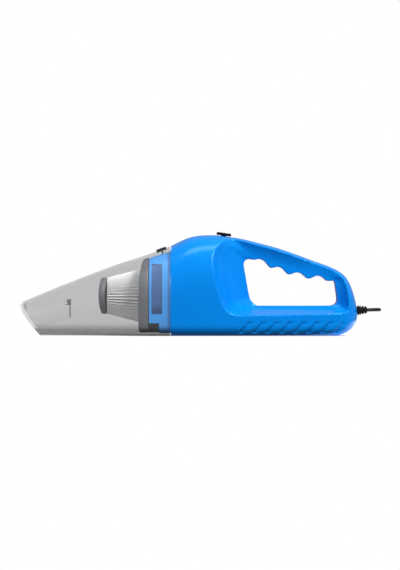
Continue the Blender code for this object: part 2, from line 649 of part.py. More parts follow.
def make_flange():
    """The filter's carrier plate: bowed front, centre hole, a spigot into the collar and a bottom tongue."""
    front, rear = FLANGE_X
    shrink = 3.6
    plate = [nozzle_section(x, NOZZLE_WALL + shrink - 2.2) for x in (front, rear)]
    bow = []
    for x, y, z in nozzle_section(front, NOZZLE_WALL + shrink - 2.2):
        share = 0.62
        bow.append((front - FLANGE_BOW * 0.45, y * share, AXIS_Z + (z - AXIS_Z) * share))
    flange = add_object("filter_flange", loft([bow] + plate), GREY_PLASTIC)
    spigot_r = FILTER_HOLE_R - GAP
    spigot = turned("flange_spigot_form", [(front + 1, spigot_r), (COLLAR_FRONT + COLLAR_WALL + 1, spigot_r)],
                    origin=(0, 0, AXIS_Z))
    combine(flange, spigot, "UNION")
    for side in (-1, 1):
        low_y, high_y = sorted((side * TONGUE_HALF[0], side * TONGUE_HALF[1]))
        tongue = block(f"flange_tongue_form_{side + 1}", (front + 1, low_y, 3.4),
                       (TONGUE_REAR, high_y, TONGUE_TOP))
        combine(flange, tongue, "UNION")
    combine(flange, turned("flange_hole_form", [(-70, 22.0), (-20, 22.0)], origin=(0, 0, AXIS_Z)))
    seat_r = PLEAT_REAR_R + GAP
    combine(flange, turned("flange_seat_form", [(-70, seat_r), (front + 1.5, seat_r)], origin=(0, 0, AXIS_Z)))
    return [flange]


# ---------------------------------------------------------------- fan and motor

def make_fan_housing():
    front, rear = SHROUD_X
    middle = (0, 0, AXIS_Z)
    wall = 1.5
    profile = [(front, 15.0), (front, SHROUD_R), (rear, SHROUD_R), (rear, SHROUD_R - wall),
               (front + wall, SHROUD_R - wall), (front + wall, 15.0)]
    turned("fan_shroud", profile, BLACK_PLASTIC, origin=middle, ring=True)
    near, far = BRACKET_X
    rings = [body_section(x, WALL + GAP) for x in (near, far)]
    bracket = add_object("motor_bracket", loft(rings), BLACK_PLASTIC)
    hole = turned("bracket_hole_form", [(-20, BUSH_R + 1.2), (5, BUSH_R + 1.2)], origin=middle)
    combine(bracket, hole)
    for number in range(8):
        angle = math.pi / 4 * (number + 0.5)
        place = (0, 29 * math.cos(angle), AXIS_Z + 29 * math.sin(angle))
        vent = turned(f"bracket_vent_form_{number}", [(-20, 6.5), (5, 6.5)], origin=place, facets=12)
        combine(bracket, vent)
    for number, side in enumerate((-1, 1), 1):
        place = (0, 0, AXIS_Z + side * 11.0)
        combine(bracket, turned(f"bracket_screw_form_{number}", [(-20, 1.5 + GAP), (5, 1.5 + GAP)],
                                origin=place, facets=12))
        turned(f"motor_screw_{number}", [(near - GAP - 1.6, 2.6), (near - GAP, 2.6), (near - GAP, 1.5),
                                         (MOTOR_X[0] + 2.6, 1.5)], PLATED_STEEL, origin=place, facets=12)


def make_motor():
    front, rear = MOTOR_X
    middle = (0, 0, AXIS_Z)
    wall = 1.5
    bush_bore = BUSH_R + GAP
    profile = [(front, bush_bore), (front, MOTOR_R - 2), (front + 2, MOTOR_R),
               (rear, MOTOR_R), (rear, MOTOR_R - wall),
               (front + 3, MOTOR_R - wall), (front + 3, bush_bore)]
    can = turned("motor_can", profile, PLATED_STEEL, origin=middle, ring=True)
    for number, side in enumerate((-1, 1), 1):
        place = (0, 0, AXIS_Z + side * 11.0)
        tap = turned(f"can_tap_form_{number}", [(front - 2, 1.5 + GAP), (front + 5, 1.5 + GAP)],
                     origin=place, facets=12)
        combine(can, tap)
    cap = turned("motor_end_cap", [(rear + GAP, bush_bore), (rear + GAP, MOTOR_R), (rear + 3, MOTOR_R),
                                   (rear + 5, MOTOR_R - 5), (rear + 5, bush_bore)],
                 WHITE_PLASTIC, origin=middle, ring=True)
    bore = SHAFT_R + GAP
    turned("front_bush", [(front - 2, bore), (front - 2, BUSH_R), (front + 3, BUSH_R), (front + 3, bore)],
           BRONZE, origin=middle, ring=True, facets=SMALL_FACETS)
    turned("rear_bush", [(rear + 1, bore), (rear + 1, BUSH_R), (rear + 6, BUSH_R), (rear + 6, bore)],
           BRONZE, origin=middle, ring=True, facets=SMALL_FACETS)
    for number, side in enumerate((-1, 1), 1):
        low_y, high_y = sorted((side * 8.0, side * 11.0))
        slot = block(f"terminal_slot_form_{number}", (rear - 1, low_y - GAP, AXIS_Z - 0.4 - GAP),
                     (rear + 9, high_y + GAP, AXIS_Z + 0.4 + GAP))
        combine(cap, slot)
        block(f"motor_terminal_{number}", (rear + 0.6, low_y, AXIS_Z - 0.4),
              (rear + 8.4, high_y, AXIS_Z + 0.4), BRASS)
    turned("noise_capacitor", [(-1.3, 2.4), (-1.0, 3.2), (1.0, 3.2), (1.3, 2.4)], AMBER_CERAMIC,
           origin=(rear + 8.0, 0, AXIS_Z + 8.5), facets=12)


def make_rotor():
    """Everything that turns: shaft, armature, impeller and its nut."""
    middle = (0, 0, AXIS_Z)
    front, rear = MOTOR_X
    nut_front = IMPELLER_X[0] - 3.3
    shaft = turned("motor_shaft", [(nut_front - 1.0, SHAFT_R), (rear + 7.5, SHAFT_R)], PLATED_STEEL,
                   origin=middle, facets=SMALL_FACETS)
    bore = SHAFT_R + GAP
    armature = turned("armature", [(front + 8, bore), (front + 8, 8.0), (front + 12, 12.0), (rear - 12, 12.0),
                                   (rear - 8, 6.0), (rear - 3, 6.0), (rear - 3, bore)],
                      COPPER, origin=middle, ring=True)
    nut = turned("impeller_nut",
                 [(nut_front, bore), (nut_front, 3.2), (nut_front + 3.0, 3.2), (nut_front + 3.0, bore)],
                 BRASS, origin=middle, ring=True, facets=6)
    hub_front, hub_rear = IMPELLER_X
    impeller = turned("impeller", [(hub_front, bore), (hub_front, 5.0), (hub_rear - 1.5, 7.0),
                                   (hub_rear - 1.5, IMPELLER_R), (hub_rear, IMPELLER_R), (hub_rear, bore)],
                      WHITE_PLASTIC, origin=middle, ring=True)
    blade_root, blade_tip = 4.5, IMPELLER_R - 2.0
    half = (blade_tip - blade_root) / 2
    for number in range(IMPELLER_BLADES):
        angle = 2 * math.pi * number / IMPELLER_BLADES
        turn = Matrix.Translation(middle) @ Matrix.Rotation(angle, 4, "X") \
            @ Matrix.Translation((0, 0, blade_root + half)) @ Matrix.Rotation(math.radians(24), 4, "X")
        blade = block(f"blade_form_{number}", (hub_front + 2.5, -0.6, -half), (hub_rear - 0.6, 0.6, half),
                      frame=turn)
        combine(impeller, blade, "UNION")
    carry([shaft, armature, nut, impeller], "spin_axis", middle)


# ---------------------------------------------------------------- switch, latch, leads

def make_switch():
    frame = top_frame(SWITCH_X, BODY_TOP)
    length, width = SWITCH_STEM
    half_l, half_w = SWITCH_LENGTH / 2, SWITCH_WIDTH / 2
    slider = block("switch_slider", (-half_l, -half_w, 0.6), (half_l, half_w, SWITCH_PROUD),
                   BLACK_PLASTIC, frame)
    combine(slider, block("slider_stem_form", (-length / 2, -width / 2, -6.4), (length / 2, width / 2, 2),
                          frame=frame),
            "UNION")
    for number in range(3):
        place = -4.0 + 4.0 * number
        groove = block(f"slider_groove_form_{number}", (place - 0.6, -20, SWITCH_PROUD - 0.6),
                       (place + 0.6, 20, SWITCH_PROUD + 3), frame=frame)
        combine(slider, groove)
    carry([slider], "switch_axis", frame @ Vector((0, 0, 0)))
    base = block("switch_base", (-14, -6.5, -13.6), (11, 6.5, -4.4), BLACK_PLASTIC, frame)
    well = block("base_well_form", (-length / 2 - SWITCH_TRAVEL - GAP * 2, -width / 2 - GAP, -7.2),
                 (length / 2 + GAP * 2, width / 2 + GAP, 2), frame=frame)
    combine(base, well)
    for number, place in enumerate((-8.0, 5.0), 1):
        slot = block(f"switch_slot_form_{number}", (place - 0.4 - GAP, -1.5 - GAP, -16),
                     (place + 0.4 + GAP, 1.5 + GAP, -9.6), frame=frame)
        combine(base, slot)
        block(f"switch_terminal_{number}", (place - 0.4, -1.5, -18), (place + 0.4, 1.5, -10), BRASS, frame)


def make_latch():
    frame = top_frame(LATCH_X, NOZZLE_TOP)
    half_l, half_w = LATCH_LENGTH / 2, LATCH_WIDTH / 2
    button = block("latch_button", (-half_l, -half_w, -LATCH_DEPTH), (half_l, half_w, LATCH_PROUD),
                   BLACK_PLASTIC, frame)
    well_r = 3.0
    out = frame.to_3x3() @ Vector((0, 0, 1))
    well = turned("latch_well_form", [(-20, well_r), (-1.0, well_r)], origin=frame.translation, along=out,
                  facets=SMALL_FACETS)
    combine(button, well)
    for number in range(3):
        place = -3.0 + 3.0 * number
        groove = block(f"latch_groove_form_{number}", (place - 0.5, -30, LATCH_PROUD - 0.5),
                       (place + 0.5, 30, LATCH_PROUD + 3), frame=frame)
        combine(button, groove)
    carry([button], "latch_axis", frame.translation)
    coil_spring("latch_spring", frame, -13.4, -1.0 - GAP - LATCH_TRAVEL, 2.3, 0.35, 4)


def coil_spring(name, frame, low, high, radius, wire, turns):
    """A round-wire compression spring along a frame's Z."""
    count = turns * 9
    points = []
    for k in range(count + 1):
        share = k / count
        angle = 2 * math.pi * turns * share
        along = low + wire + (high - low - 2 * wire) * share
        points.append(frame @ Vector((radius * math.cos(angle), radius * math.sin(angle), along)))
    return wire_tube(name, points, wire, PLATED_STEEL, 1)


def wire_tube(name, points, radius, look, roundness=2):
    """A round wire or cord through the points, with filled ends."""
    curve = bpy.data.curves.new(name, "CURVE")
    curve.dimensions = "3D"
    curve.bevel_depth = radius * MM
    curve.bevel_resolution = roundness
    curve.use_fill_caps = True
    spline = curve.splines.new("POLY")
    spline.points.add(len(points) - 1)
    for place, point in zip(spline.points, points):
        place.co = (*(Vector(point) * MM), 1.0)
    made = bpy.data.objects.new(name, curve)
    bpy.context.scene.collection.objects.link(made)
    curve.materials.append(finish(name, *look))
    return made


def smooth_path(points, spacing):
    """Even points along an open Catmull-Rom curve."""
    knots = [Vector(p) for p in points]
    knots = [2 * knots[0] - knots[1]] + knots + [2 * knots[-1] - knots[-2]]
    fine = []
    for p0, p1, p2, p3 in zip(knots, knots[1:], knots[2:], knots[3:]):
        for step in range(12):
            t = step / 12
            fine.append(0.5 * (2 * p1 + (p2 - p0) * t + (2 * p0 - 5 * p1 + 4 * p2 - p3) * t * t
                               + (3 * p1 - p0 - 3 * p2 + p3) * t ** 3))
    fine.append(knots[-2])
    length = sum((b - a).length for a, b in zip(fine, fine[1:]))
    count = max(2, round(length / spacing))
    made, gone, target = [fine[0]], 0.0, length / count
    for a, b in zip(fine, fine[1:]):
        piece = (b - a).length
        while piece and gone + piece >= target - 1e-9 and len(made) < count:
            made.append(a.lerp(b, (target - gone) / piece))
            target += length / count
        gone += piece
    made.append(fine[-1])
    return made


def make_inner_leads():
    """Supply lead along the base to the motor, its return through the switch."""
    clamp_x = 158.5
    terminal_x = MOTOR_X[1] + 8.4
    wires = {
        "supply_lead": ([(clamp_x, 2.2, 24.4), (148, 6, 20.0), (110, 8, 22.0), (84, 9, 24.0), (70, 9.5, 27.0),
                         (62, 9.5, 34.0), (terminal_x + 3.0, 9.5, AXIS_Z - 2.4),
                          (terminal_x + 1.0, 9.5, AXIS_Z)],
                        RED_PVC),
        "switch_lead": ([(clamp_x, -2.2, 24.4), (148, -6, 20.0), (110, -10, 22.0), (84, -10, 24.0),
                         (68, -7, 25.6), (59, -5, 32.0), (56.2, -4.5, 44.0),
                          (54.6, -4.5, 62.0), (52, -4, 76.0),
                         (46.5, -2.5, 84.6), (43.8, -1.2, 87.0)],
                        CORD_PVC),
        "motor_lead": ([(29.2, -1.0, 91.0), (30.0, -8, 84.0), (38.0, -15, 74.0), (50.0, -14, 60.0),
                        (terminal_x + 3.0, -10.5, AXIS_Z + 6), (terminal_x + 1.0, -9.5, AXIS_Z)], CORD_PVC),
    }
    for name, (points, look) in wires.items():
        wire_tube(name, smooth_path(points, 5.0), 0.9, look, 1)


# ---------------------------------------------------------------- cord end in the tail

def make_cord_end():
    start, end = RELIEF_X
    rise = math.radians(RELIEF_RISE)
    along = (math.cos(rise), 0, math.sin(rise))
    bore = CORD_R + 2 * GAP
    neck, flange = 3.9, 5.4
    profile = [(-10.0, bore), (-10.0, neck), (0.0, neck), (0.0, flange), (1.2, flange - 0.2)]
    for k in range(3):
        place = 1.6 + 2.9 * k
        girth = 4.6 - 0.35 * k
        profile += [(place, girth), (place + 1.7, girth),
                    (place + 1.7, girth - 1.0), (place + 2.8, girth - 1.0)]
    profile += [(end - start, 3.0), (end - start, bore)]
    origin = (start, 0, RELIEF_Z)
    turned("strain_relief", profile, BLACK_RUBBER, origin=origin, along=along, ring=True, facets=SMALL_FACETS)


def make_cord_clamp():
    """A bar over the cord just inside the tail, with one screw at each side."""
    x = 166.0
    cord_z = RELIEF_Z - (RELIEF_X[0] - x) * math.tan(math.radians(RELIEF_RISE))
    high = cord_z - CORD_R - GAP
    low = high - 2.6
    bar = block("cord_clamp", (x - 3, -10, low), (x + 3, 10, high), BLACK_PLASTIC)
    for number, side in enumerate((-1, 1), 1):
        place = (x, side * 7.0, 0)
        combine(bar, turned(f"clamp_bore_form_{number}", [(low - 5, 1.2 + GAP), (high + 5, 1.2 + GAP)],
                            origin=place, along=(0, 0, 1), facets=12))
        turned(f"clamp_screw_{number}", [(low - 3, 1.2), (high + GAP, 1.2), (high + GAP, 2.3),
                                           (high + GAP + 1.4, 2.0)],
               PLATED_STEEL, origin=place, along=(0, 0, 1), facets=12)


# ---------------------------------------------------------------- free cord and plug

def make_cord():
    spacing = CORD_R * 2 * 2.6
    wire_tube("cord_lead", smooth_path(CORD_LEAD, spacing), CORD_R, CORD_PVC)
    wire_tube("cord_tail", smooth_path(CORD_TAIL, spacing), CORD_R, CORD_PVC)
    across = COIL_ACROSS * CORD_R + 0.2
    high = COIL_HIGH * 2 * CORD_R + 0.3
    inner, outer = COIL_MEAN_R - across, COIL_MEAN_R + across
    place = (*COIL_CENTRE, 0)
    turned("cord_coil", [(0.1, inner), (0.1, outer), (high, outer), (high, inner)], CORD_PVC,
           origin=place, along=(0, 0, 1), ring=True)
    make_tie(inner, outer, high)


def make_tie(inner, outer, high):
    """A flat band round one place of the coil."""
    cx, cy = COIL_CENTRE
    thick, wide = 0.9, 5.0
    bulge = inner - math.sqrt(inner ** 2 - (wide / 2) ** 2)
    near, far = cx + inner - bulge - GAP, cx + outer + GAP
    tie = block("cord_tie", (near - thick, cy - wide / 2, 0.0),
                (far + thick, cy + wide / 2, high + GAP + thick),
                BLACK_PLASTIC)
    combine(tie, block("tie_window_form", (near, cy - wide, -5.0), (far, cy + wide, high + GAP)))


def make_plug():
    """12 V accessory plug on the floor: body, nose ring, sprung tip, side contacts, fuse, strain relief."""
    tail, tip = PLUG_TAIL_X, PLUG_TIP_X
    origin = (tail, PLUG_Y, PLUG_R)
    ahead = (1, 0, 0)
    body_r, neck_r = PLUG_R, 10.4
    body = turned("plug_body", [(0, 3.1), (0, 8.5), (3, body_r - 0.4), (8, body_r),
                                (22, body_r), (25, neck_r),
                                (48, neck_r), (48, 5.4), (16, 5.4), (16, 3.1)],
                  BLACK_PLASTIC, origin=origin, along=ahead, ring=True)
    for number, side in enumerate((-1, 1), 1):
        low_y, high_y = sorted((PLUG_Y + side * 9.0, PLUG_Y + side * 11.4))
        well = block(f"contact_slot_form_{number}", (tail + 28, low_y - 1.2, PLUG_R - 2 - GAP),
                     (tail + 42, high_y + 2, PLUG_R + 2 + GAP))
        combine(body, well)
        block(f"side_contact_{number}", (tail + 28 + GAP, low_y + 0.2, PLUG_R - 2),
              (tail + 42 - GAP, high_y, PLUG_R + 2),
              PLATED_STEEL)
    turned("plug_nose", [(48.4, 5.4), (48.4, 10.0), (54, 9.4), (59, 7.4), (59, 4.2), (52, 4.2), (52, 5.4)],
           BLACK_PLASTIC, origin=origin, along=ahead, ring=True)
    length = tip - tail
    point = turned("plug_tip", [(49.4, 4.9), (51.2, 4.9), (51.2, 3.8),
                                (length - 3.5, 3.8), (length - 1.2, 3.0),
                                (length, 1.4)], PLATED_STEEL, origin=origin, along=ahead, facets=SMALL_FACETS)
    carry([point], "plug_tip_axis", (tip, PLUG_Y, PLUG_R))
    turned("plug_fuse", [(17, 3.0), (17.5, 3.2), (37.5, 3.2), (38, 3.0)], GLASS_TUBE,
           origin=origin, along=ahead,
           facets=12)
    spring_frame = Matrix.Translation(origin) @ Vector(ahead).to_track_quat("Z", "Y").to_matrix().to_4x4()
    coil_spring("tip_spring", spring_frame, 38 + GAP, 49.4 - TIP_TRAVEL - GAP, 3.4, 0.35, 4)
    relief = [(-12.0, CORD_R + GAP), (-12.0, 2.9), (-3.0, 4.2),
              (-1.0, 5.4), (-GAP, 5.4), (-GAP, CORD_R + GAP)]
    turned("plug_relief", relief, BLACK_RUBBER, origin=origin, along=ahead, ring=True, facets=SMALL_FACETS)


def main():
    start_clean()
    make_housings()
    make_housing_screws()
    make_collar()
    nozzle = make_nozzle()
    duct = make_duct()
    flap = make_flap()
    carry([nozzle, *duct], "nozzle_axis", (NOZZLE_REAR, 0, AXIS_Z))
    carry([flap], "flap_axis", (FLAP_SWING_PIN[0], 0, FLAP_SWING_PIN[1]))
    carry(make_filter(), "filter_axis", (FLANGE_X[1], 0, AXIS_Z))
    make_fan_housing()
    make_motor()
    make_rotor()
    make_switch()
    make_latch()
    make_inner_leads()
    make_cord_end()
    make_cord_clamp()
    make_cord()
    make_plug()


main()
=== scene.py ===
"""Finished look of a hand-held 12 V car vacuum: shells, clear nozzle, pleated filter, cord and plug."""
import json
import math

import bmesh
import bpy
from mathutils import Matrix, Vector, noise

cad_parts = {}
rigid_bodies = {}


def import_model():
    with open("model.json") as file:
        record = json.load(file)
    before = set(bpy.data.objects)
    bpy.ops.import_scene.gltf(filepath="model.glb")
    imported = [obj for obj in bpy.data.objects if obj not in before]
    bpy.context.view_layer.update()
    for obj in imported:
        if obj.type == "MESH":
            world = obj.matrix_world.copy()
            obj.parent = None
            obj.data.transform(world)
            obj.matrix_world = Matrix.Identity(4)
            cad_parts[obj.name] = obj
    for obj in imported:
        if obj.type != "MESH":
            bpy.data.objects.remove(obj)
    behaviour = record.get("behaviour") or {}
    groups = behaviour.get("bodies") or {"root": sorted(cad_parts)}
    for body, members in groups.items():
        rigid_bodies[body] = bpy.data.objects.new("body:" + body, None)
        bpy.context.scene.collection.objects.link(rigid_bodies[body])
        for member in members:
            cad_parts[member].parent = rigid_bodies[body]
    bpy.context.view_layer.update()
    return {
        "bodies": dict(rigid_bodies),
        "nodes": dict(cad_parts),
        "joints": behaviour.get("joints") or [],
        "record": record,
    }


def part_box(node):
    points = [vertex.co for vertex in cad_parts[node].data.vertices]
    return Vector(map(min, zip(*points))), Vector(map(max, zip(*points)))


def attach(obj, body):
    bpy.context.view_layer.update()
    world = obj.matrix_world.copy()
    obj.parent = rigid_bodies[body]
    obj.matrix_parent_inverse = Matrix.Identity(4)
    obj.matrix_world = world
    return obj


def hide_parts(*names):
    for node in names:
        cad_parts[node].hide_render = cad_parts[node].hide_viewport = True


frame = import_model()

MM = 0.001

# the studio: strength of the fill, size and place of the floor, its own glow
FILL_LOW, FILL_HIGH = 0.15, 0.30
FLOOR_SHARE = (0.48, 0.36, 1.0)
FLOOR_MIDDLE = (0.01, 0.145, -0.0004)
FLOOR_GLOW = 0.30

# ---------------------------------------------------------------- sizes, in millimetres

BODY_FRONT, BODY_REAR = -20.7, 184.5
BODY_TOP = [(-20.7, 97.8), (-12.5, 101.9), (-1.6, 106.8), (8.4, 109.1), (21.2, 110.0),
            (29.4, 109.9), (45.7, 107.8), (57.7, 105.9), (74.5, 101.8), (95.9, 96.1),
            (117.2, 88.9), (135.1, 82.2), (152.0, 76.2), (162.1, 71.5), (170.0, 65.9),
            (175.6, 58.0), (180.0, 46.8), (183.4, 33.3), (184.5, 25.0)]
BODY_LOW = [(-20.7, 0.0), (160.0, 0.0), (170.0, 2.4), (177.8, 7.5), (183.4, 15.4), (184.5, 21.5)]
BODY_HALF = [(-20.7, 50.4), (10.0, 51.0), (40.0, 50.4), (80.0, 47.0), (120.0, 43.0),
             (150.0, 39.5), (166.0, 35.5), (176.0, 28.5), (182.0, 18.5), (184.5, 7.0)]
WIDEST, CROWN = 0.36, 2.7
BODY_CORNER, NOZZLE_CORNER = 11.0, 10.0
WALL = 2.2
SPLIT = 0.15                   # half the gap between the two shells

DISH_RIM = [(48.6, 105.2), (36.7, 102.3), (28.5, 93.6), (25.4, 81.0), (27.7, 61.7),
            (32.2, 45.3), (36.7, 32.6), (41.3, 27.1), (48.6, 23.0), (57.7, 22.0),
            (115.0, 23.0), (168.0, 24.8), (174.0, 29.0), (174.4, 37.0), (171.9, 54.0),
            (166.0, 65.0), (152.0, 73.6), (117.2, 86.0), (95.9, 93.0), (74.5, 99.0)]
DISH_CENTRE = (108.0, 52.0)
DISH_HALF = 17.0
OPENING = [(59.7, 77.5), (61.2, 81.8), (65.5, 83.7), (71.5, 82.8), (77.0, 83.8), (82.5, 81.3),
           (87.9, 75.0), (91.5, 73.8), (96.9, 75.2), (102.0, 73.4), (106.0, 69.1), (110.0, 66.6),
           (117.0, 68.8), (122.4, 68.0), (128.6, 63.1), (132.0, 62.2), (138.4, 64.8), (141.8, 65.3),
           (146.5, 63.4), (150.2, 60.2), (153.2, 59.5), (158.6, 59.6), (160.0, 56.0), (162.0, 40.5),
           (161.0, 35.6), (157.0, 33.0), (150.0, 32.5), (79.0, 32.5), (72.8, 33.6), (67.6, 38.4),
           (65.2, 45.6), (61.6, 66.0)]
OPENING_PLAIN = [(61.0, 84.5), (79.0, 84.5), (160.5, 60.5), (162.5, 32.8), (72.0, 32.8), (65.0, 42.0)]
OPENING_LAND = 0.9

NOZZLE_FRONT, NOZZLE_REAR = -192.0, -20.9
NOZZLE_TOP = [(NOZZLE_FRONT, 33.0), (-178.4, 38.9), (-126.4, 60.1), (-76.0, 79.0), (-51.4, 86.7),
              (NOZZLE_REAR, 97.8)]
NOZZLE_HALF = [(NOZZLE_FRONT, 33.0), (-160.0, 37.0), (-100.0, 44.0), (-50.0, 49.0), (NOZZLE_REAR, 50.4)]
NOZZLE_WALL = 2.2
MOUTH = [(-177.4, 40.2), (-182.2, 37.8), (-184.6, 32.8), (-180.6, 23.0), (-174.4, 14.5),
         (-168.8, 7.8), (-162.5, -0.6)]
MOUTH_PLATE = 3.0
MOUTH_MIDDLE = 15.5            # height of the middle of the mouth's hole
MOUTH_NEAR = -178.0            # a first guess of where the duct meets the mouth
DUCT_GAP = 0.3
DUCT_REAR, DUCT_WALL = -133.0, 1.6
DUCT_HALF = [(NOZZLE_FRONT, 28.0), (DUCT_REAR, 25.0)]
DUCT_TOP = [(NOZZLE_FRONT, 25.6), (DUCT_REAR, 34.4)]
DUCT_LOW = [(NOZZLE_FRONT, 2.8), (DUCT_REAR, 15.6)]
DUCT_CORNER = 5.0
FLAP_PIN = (-132.0, 37.6)

COLLAR_FRONT = -43.9
COLLAR_TOP = [(-43.9, 84.7), (-21.1, 92.2)]
COLLAR_HALF = [(-43.9, 45.6), (-21.1, 47.0)]
COLLAR_LOW, COLLAR_WALL = 2.8, 2.0
WINDOW = (-41.0, -29.4, 23.4, 78.0)
TONGUE_TOP, TONGUE_REAR, TONGUE_HALF = 13.4, -33.0, (21.5, 36.0)

AXIS_Z = 43.5
PLEATS = 44
PLEAT_X, PLEAT_R, PLEAT_DEPTH = (-90.0, -53.0), (20.0, 29.6), 3.4
CAP_FRONT, CAP_R = -99.6, 20.0
FLANGE_X = (-50.0, -44.5)
RIM_BOW = 5.2
CAP_BOW = 2.8

SWITCH_X, LATCH_X = 37.8, -30.7
RELIEF_PLACE, RELIEF_RISE = (185.1, 0.0, 27.3), 3.0
PLUG_PLACE, PLUG_R = (66.2, 138.0, 13.0), 13.0

POCKETS, POCKET_FIRST, POCKET_PITCH = 8, 52.5, 14.7
POCKET_LOW, POCKET_HIGH = 2.6, 15.4
POCKET_LENGTH, POCKET_LEAN, POCKET_DEPTH = 9.0, 11.5, 1.7

# exhaust slots in the underside: how many, where along the body, how wide, from and to across it
SLOTS, SLOT_FIRST, SLOT_PITCH, SLOT_WIDTH = 5, 18.0, 7.0, 2.8
SLOT_NEAR, SLOT_FAR = 5.0, 27.0
SCREWS = [(0.0, 12.0), (2.0, 94.0), (58.0, 12.0), (112.0, 12.0), (163.0, 13.0), (60.5, 93.5)]
SCREW_BORE_R, SCREW_BORE_FROM = 3.3, 20.0

CORD_R = 1.9
CORD_LEAD = [(161.0, 0.0, 26.04), (173.0, 0.0, 26.67), (185.1, 0.0, 27.3), (191.0, 0.0, 27.6),
             (195.8, 0.0, 27.8), (202.9, 1.9, 28.0), (208.1, 7.1, 28.0), (210.0, 14.2, 27.9),
             (208.1, 21.3, 27.8), (202.9, 26.5, 27.7), (195.4, 29.6, 27.6), (186.6, 33.2, 27.0),
             (175.4, 38.0, 25.2), (160.0, 43.8, 20.4), (142.0, 50.2, 12.6), (122.0, 55.2, 6.2),
             (104.0, 57.6, 3.0), (88.0, 58.4, 2.0), (66.0, 58.4, 2.0), (44.0, 59.6, 2.0), (32.0, 61.2, 2.0)]
CORD_TAIL = [(10.4, 80.6, 21.6), (1.0, 88.6, 21.6), (-4.6, 98.0, 21.6), (-5.6, 108.4, 21.6),
             (-1.4, 119.0, 21.6), (6.0, 128.4, 21.6), (17.2, 134.8, 19.6), (29.6, 137.6, 16.0),
             (40.6, 138.6, 13.8), (48.0, 138.4, 13.0), (53.6, 138.0, 13.0), (64.0, 138.0, 13.0)]
COIL_CENTRE = (22.0, 96.0)
COIL_MEAN_R, COIL_ACROSS, COIL_HIGH = 24.0, 6, 5
TURN_POINTS = 24


# ---------------------------------------------------------------- camera, light and stage

def linear(code):
    """A hex colour as linear light, with full alpha."""
    values = [int(code[k:k + 2], 16) / 255 for k in (1, 3, 5)]
    return (*(v / 12.92 if v <= 0.04045 else ((v + 0.055) / 1.055) ** 2.4 for v in values), 1)


def add(tree, kind, links=None, values=None, **settings):
    """One node with its settings, its values by socket number and its incoming links."""
    node = tree.nodes.new(kind)
    for key, value in settings.items():
        name = key.replace("_", " ")
        if name in node.inputs:
            node.inputs[name].default_value = value
        else:
            setattr(node, key, value)
    for number, value in (values or {}).items():
        node.inputs[number].default_value = value
    for socket, source in (links or {}).items():
        tree.links.new(source, node.inputs[socket])
    return node


def linked(name, data):
    """A new object of the scene, at the origin."""
    made = bpy.data.objects.new(name, data)
    bpy.context.scene.collection.objects.link(made)
    return made


def make_camera():
    data = bpy.data.cameras.new("camera")
    data.lens = 200.0
    data.sensor_width = 36.0
    data.clip_end = 20.0
    made = linked("camera", data)
    made.location = (0.0118, -3.484, 0.0552)
    made.rotation_euler = (math.radians(90), 0, 0)
    bpy.context.scene.camera = made


def softbox(name, place, target, size, watts):
    data = bpy.data.lights.new(name, "AREA")
    data.shape = "RECTANGLE"
    data.size, data.size_y = size
    data.energy = watts
    made = linked(name, data)
    made.location = place
    made.rotation_euler = (Vector(target) - Vector(place)).to_track_quat("-Z", "Y").to_euler()


def make_stage():
    """A white sweep: a bright surround for the eye, a weaker fill, a small floor and three softboxes."""
    world = bpy.data.worlds.new("studio")
    world.use_nodes = True
    tree = world.node_tree
    tree.nodes.clear()
    seen = add(tree, "ShaderNodeBackground", Color=(1, 1, 1, 1), Strength=1.0)
    # the fill comes from above, so the undersides fall dark
    way = add(tree, "ShaderNodeSeparateXYZ", {0: add(tree, "ShaderNodeTexCoord").outputs["Generated"]})
    sky = add(tree, "ShaderNodeMapRange", {"Value": way.outputs["Z"]}, interpolation_type="SMOOTHSTEP",
              From_Min=-0.25, From_Max=0.45, To_Min=FILL_LOW, To_Max=FILL_HIGH)
    fill = add(tree, "ShaderNodeBackground", {"Strength": sky.outputs[0]}, Color=(1, 1, 1, 1))
    path = add(tree, "ShaderNodeLightPath")
    mixed = add(tree, "ShaderNodeMixShader",
                {0: path.outputs["Is Camera Ray"], 1: fill.outputs[0], 2: seen.outputs[0]})
    add(tree, "ShaderNodeOutputWorld", {"Surface": mixed.outputs[0]})
    bpy.context.scene.world = world
    bm = bmesh.new()
    bmesh.ops.create_grid(bm, x_segments=1, y_segments=1, size=0.5)
    bmesh.ops.scale(bm, vec=FLOOR_SHARE, verts=bm.verts)
    bmesh.ops.translate(bm, vec=FLOOR_MIDDLE, verts=bm.verts)
    floor = mesh_object("floor", bm, scale=1.0)
    look("floor", "white_paper_floor", Base_Color=(0.9, 0.9, 0.9, 1), Roughness=0.9,
         Emission_Color=(1, 1, 1, 1), Emission_Strength=FLOOR_GLOW)
    floor.data.materials.append(LOOKS["floor"])
    softbox("key_softbox", (0.95, -1.0, 1.2), (0.03, 0, 0.05), (0.5, 0.5), 35)
    softbox("top_softbox", (0.1, -0.25, 1.25), (0, 0, 0.05), (1.2, 0.35), 8)
    softbox("front_softbox", (-0.95, -1.2, 0.5), (-0.1, 0, 0.05), (0.5, 0.5), 7)
    view = bpy.context.scene.view_settings
    view.view_transform = "Standard"
    view.look = "None"


# ---------------------------------------------------------------- mesh tools

def mesh_object(name, bm, scale=MM, smooth=40.0, recalc=True):
    """An object at the origin from a bmesh in millimetres."""
    bmesh.ops.remove_doubles(bm, verts=bm.verts, dist=1e-5)
    if recalc:
        bmesh.ops.recalc_face_normals(bm, faces=bm.faces)
    bmesh.ops.scale(bm, vec=(scale, scale, scale), verts=bm.verts)
    mesh = bpy.data.meshes.new(name)
    bm.to_mesh(mesh)
    bm.free()
    mesh.shade_smooth()
    if smooth:
        mesh.set_sharp_from_angle(angle=math.radians(smooth))
    return linked(name, mesh)


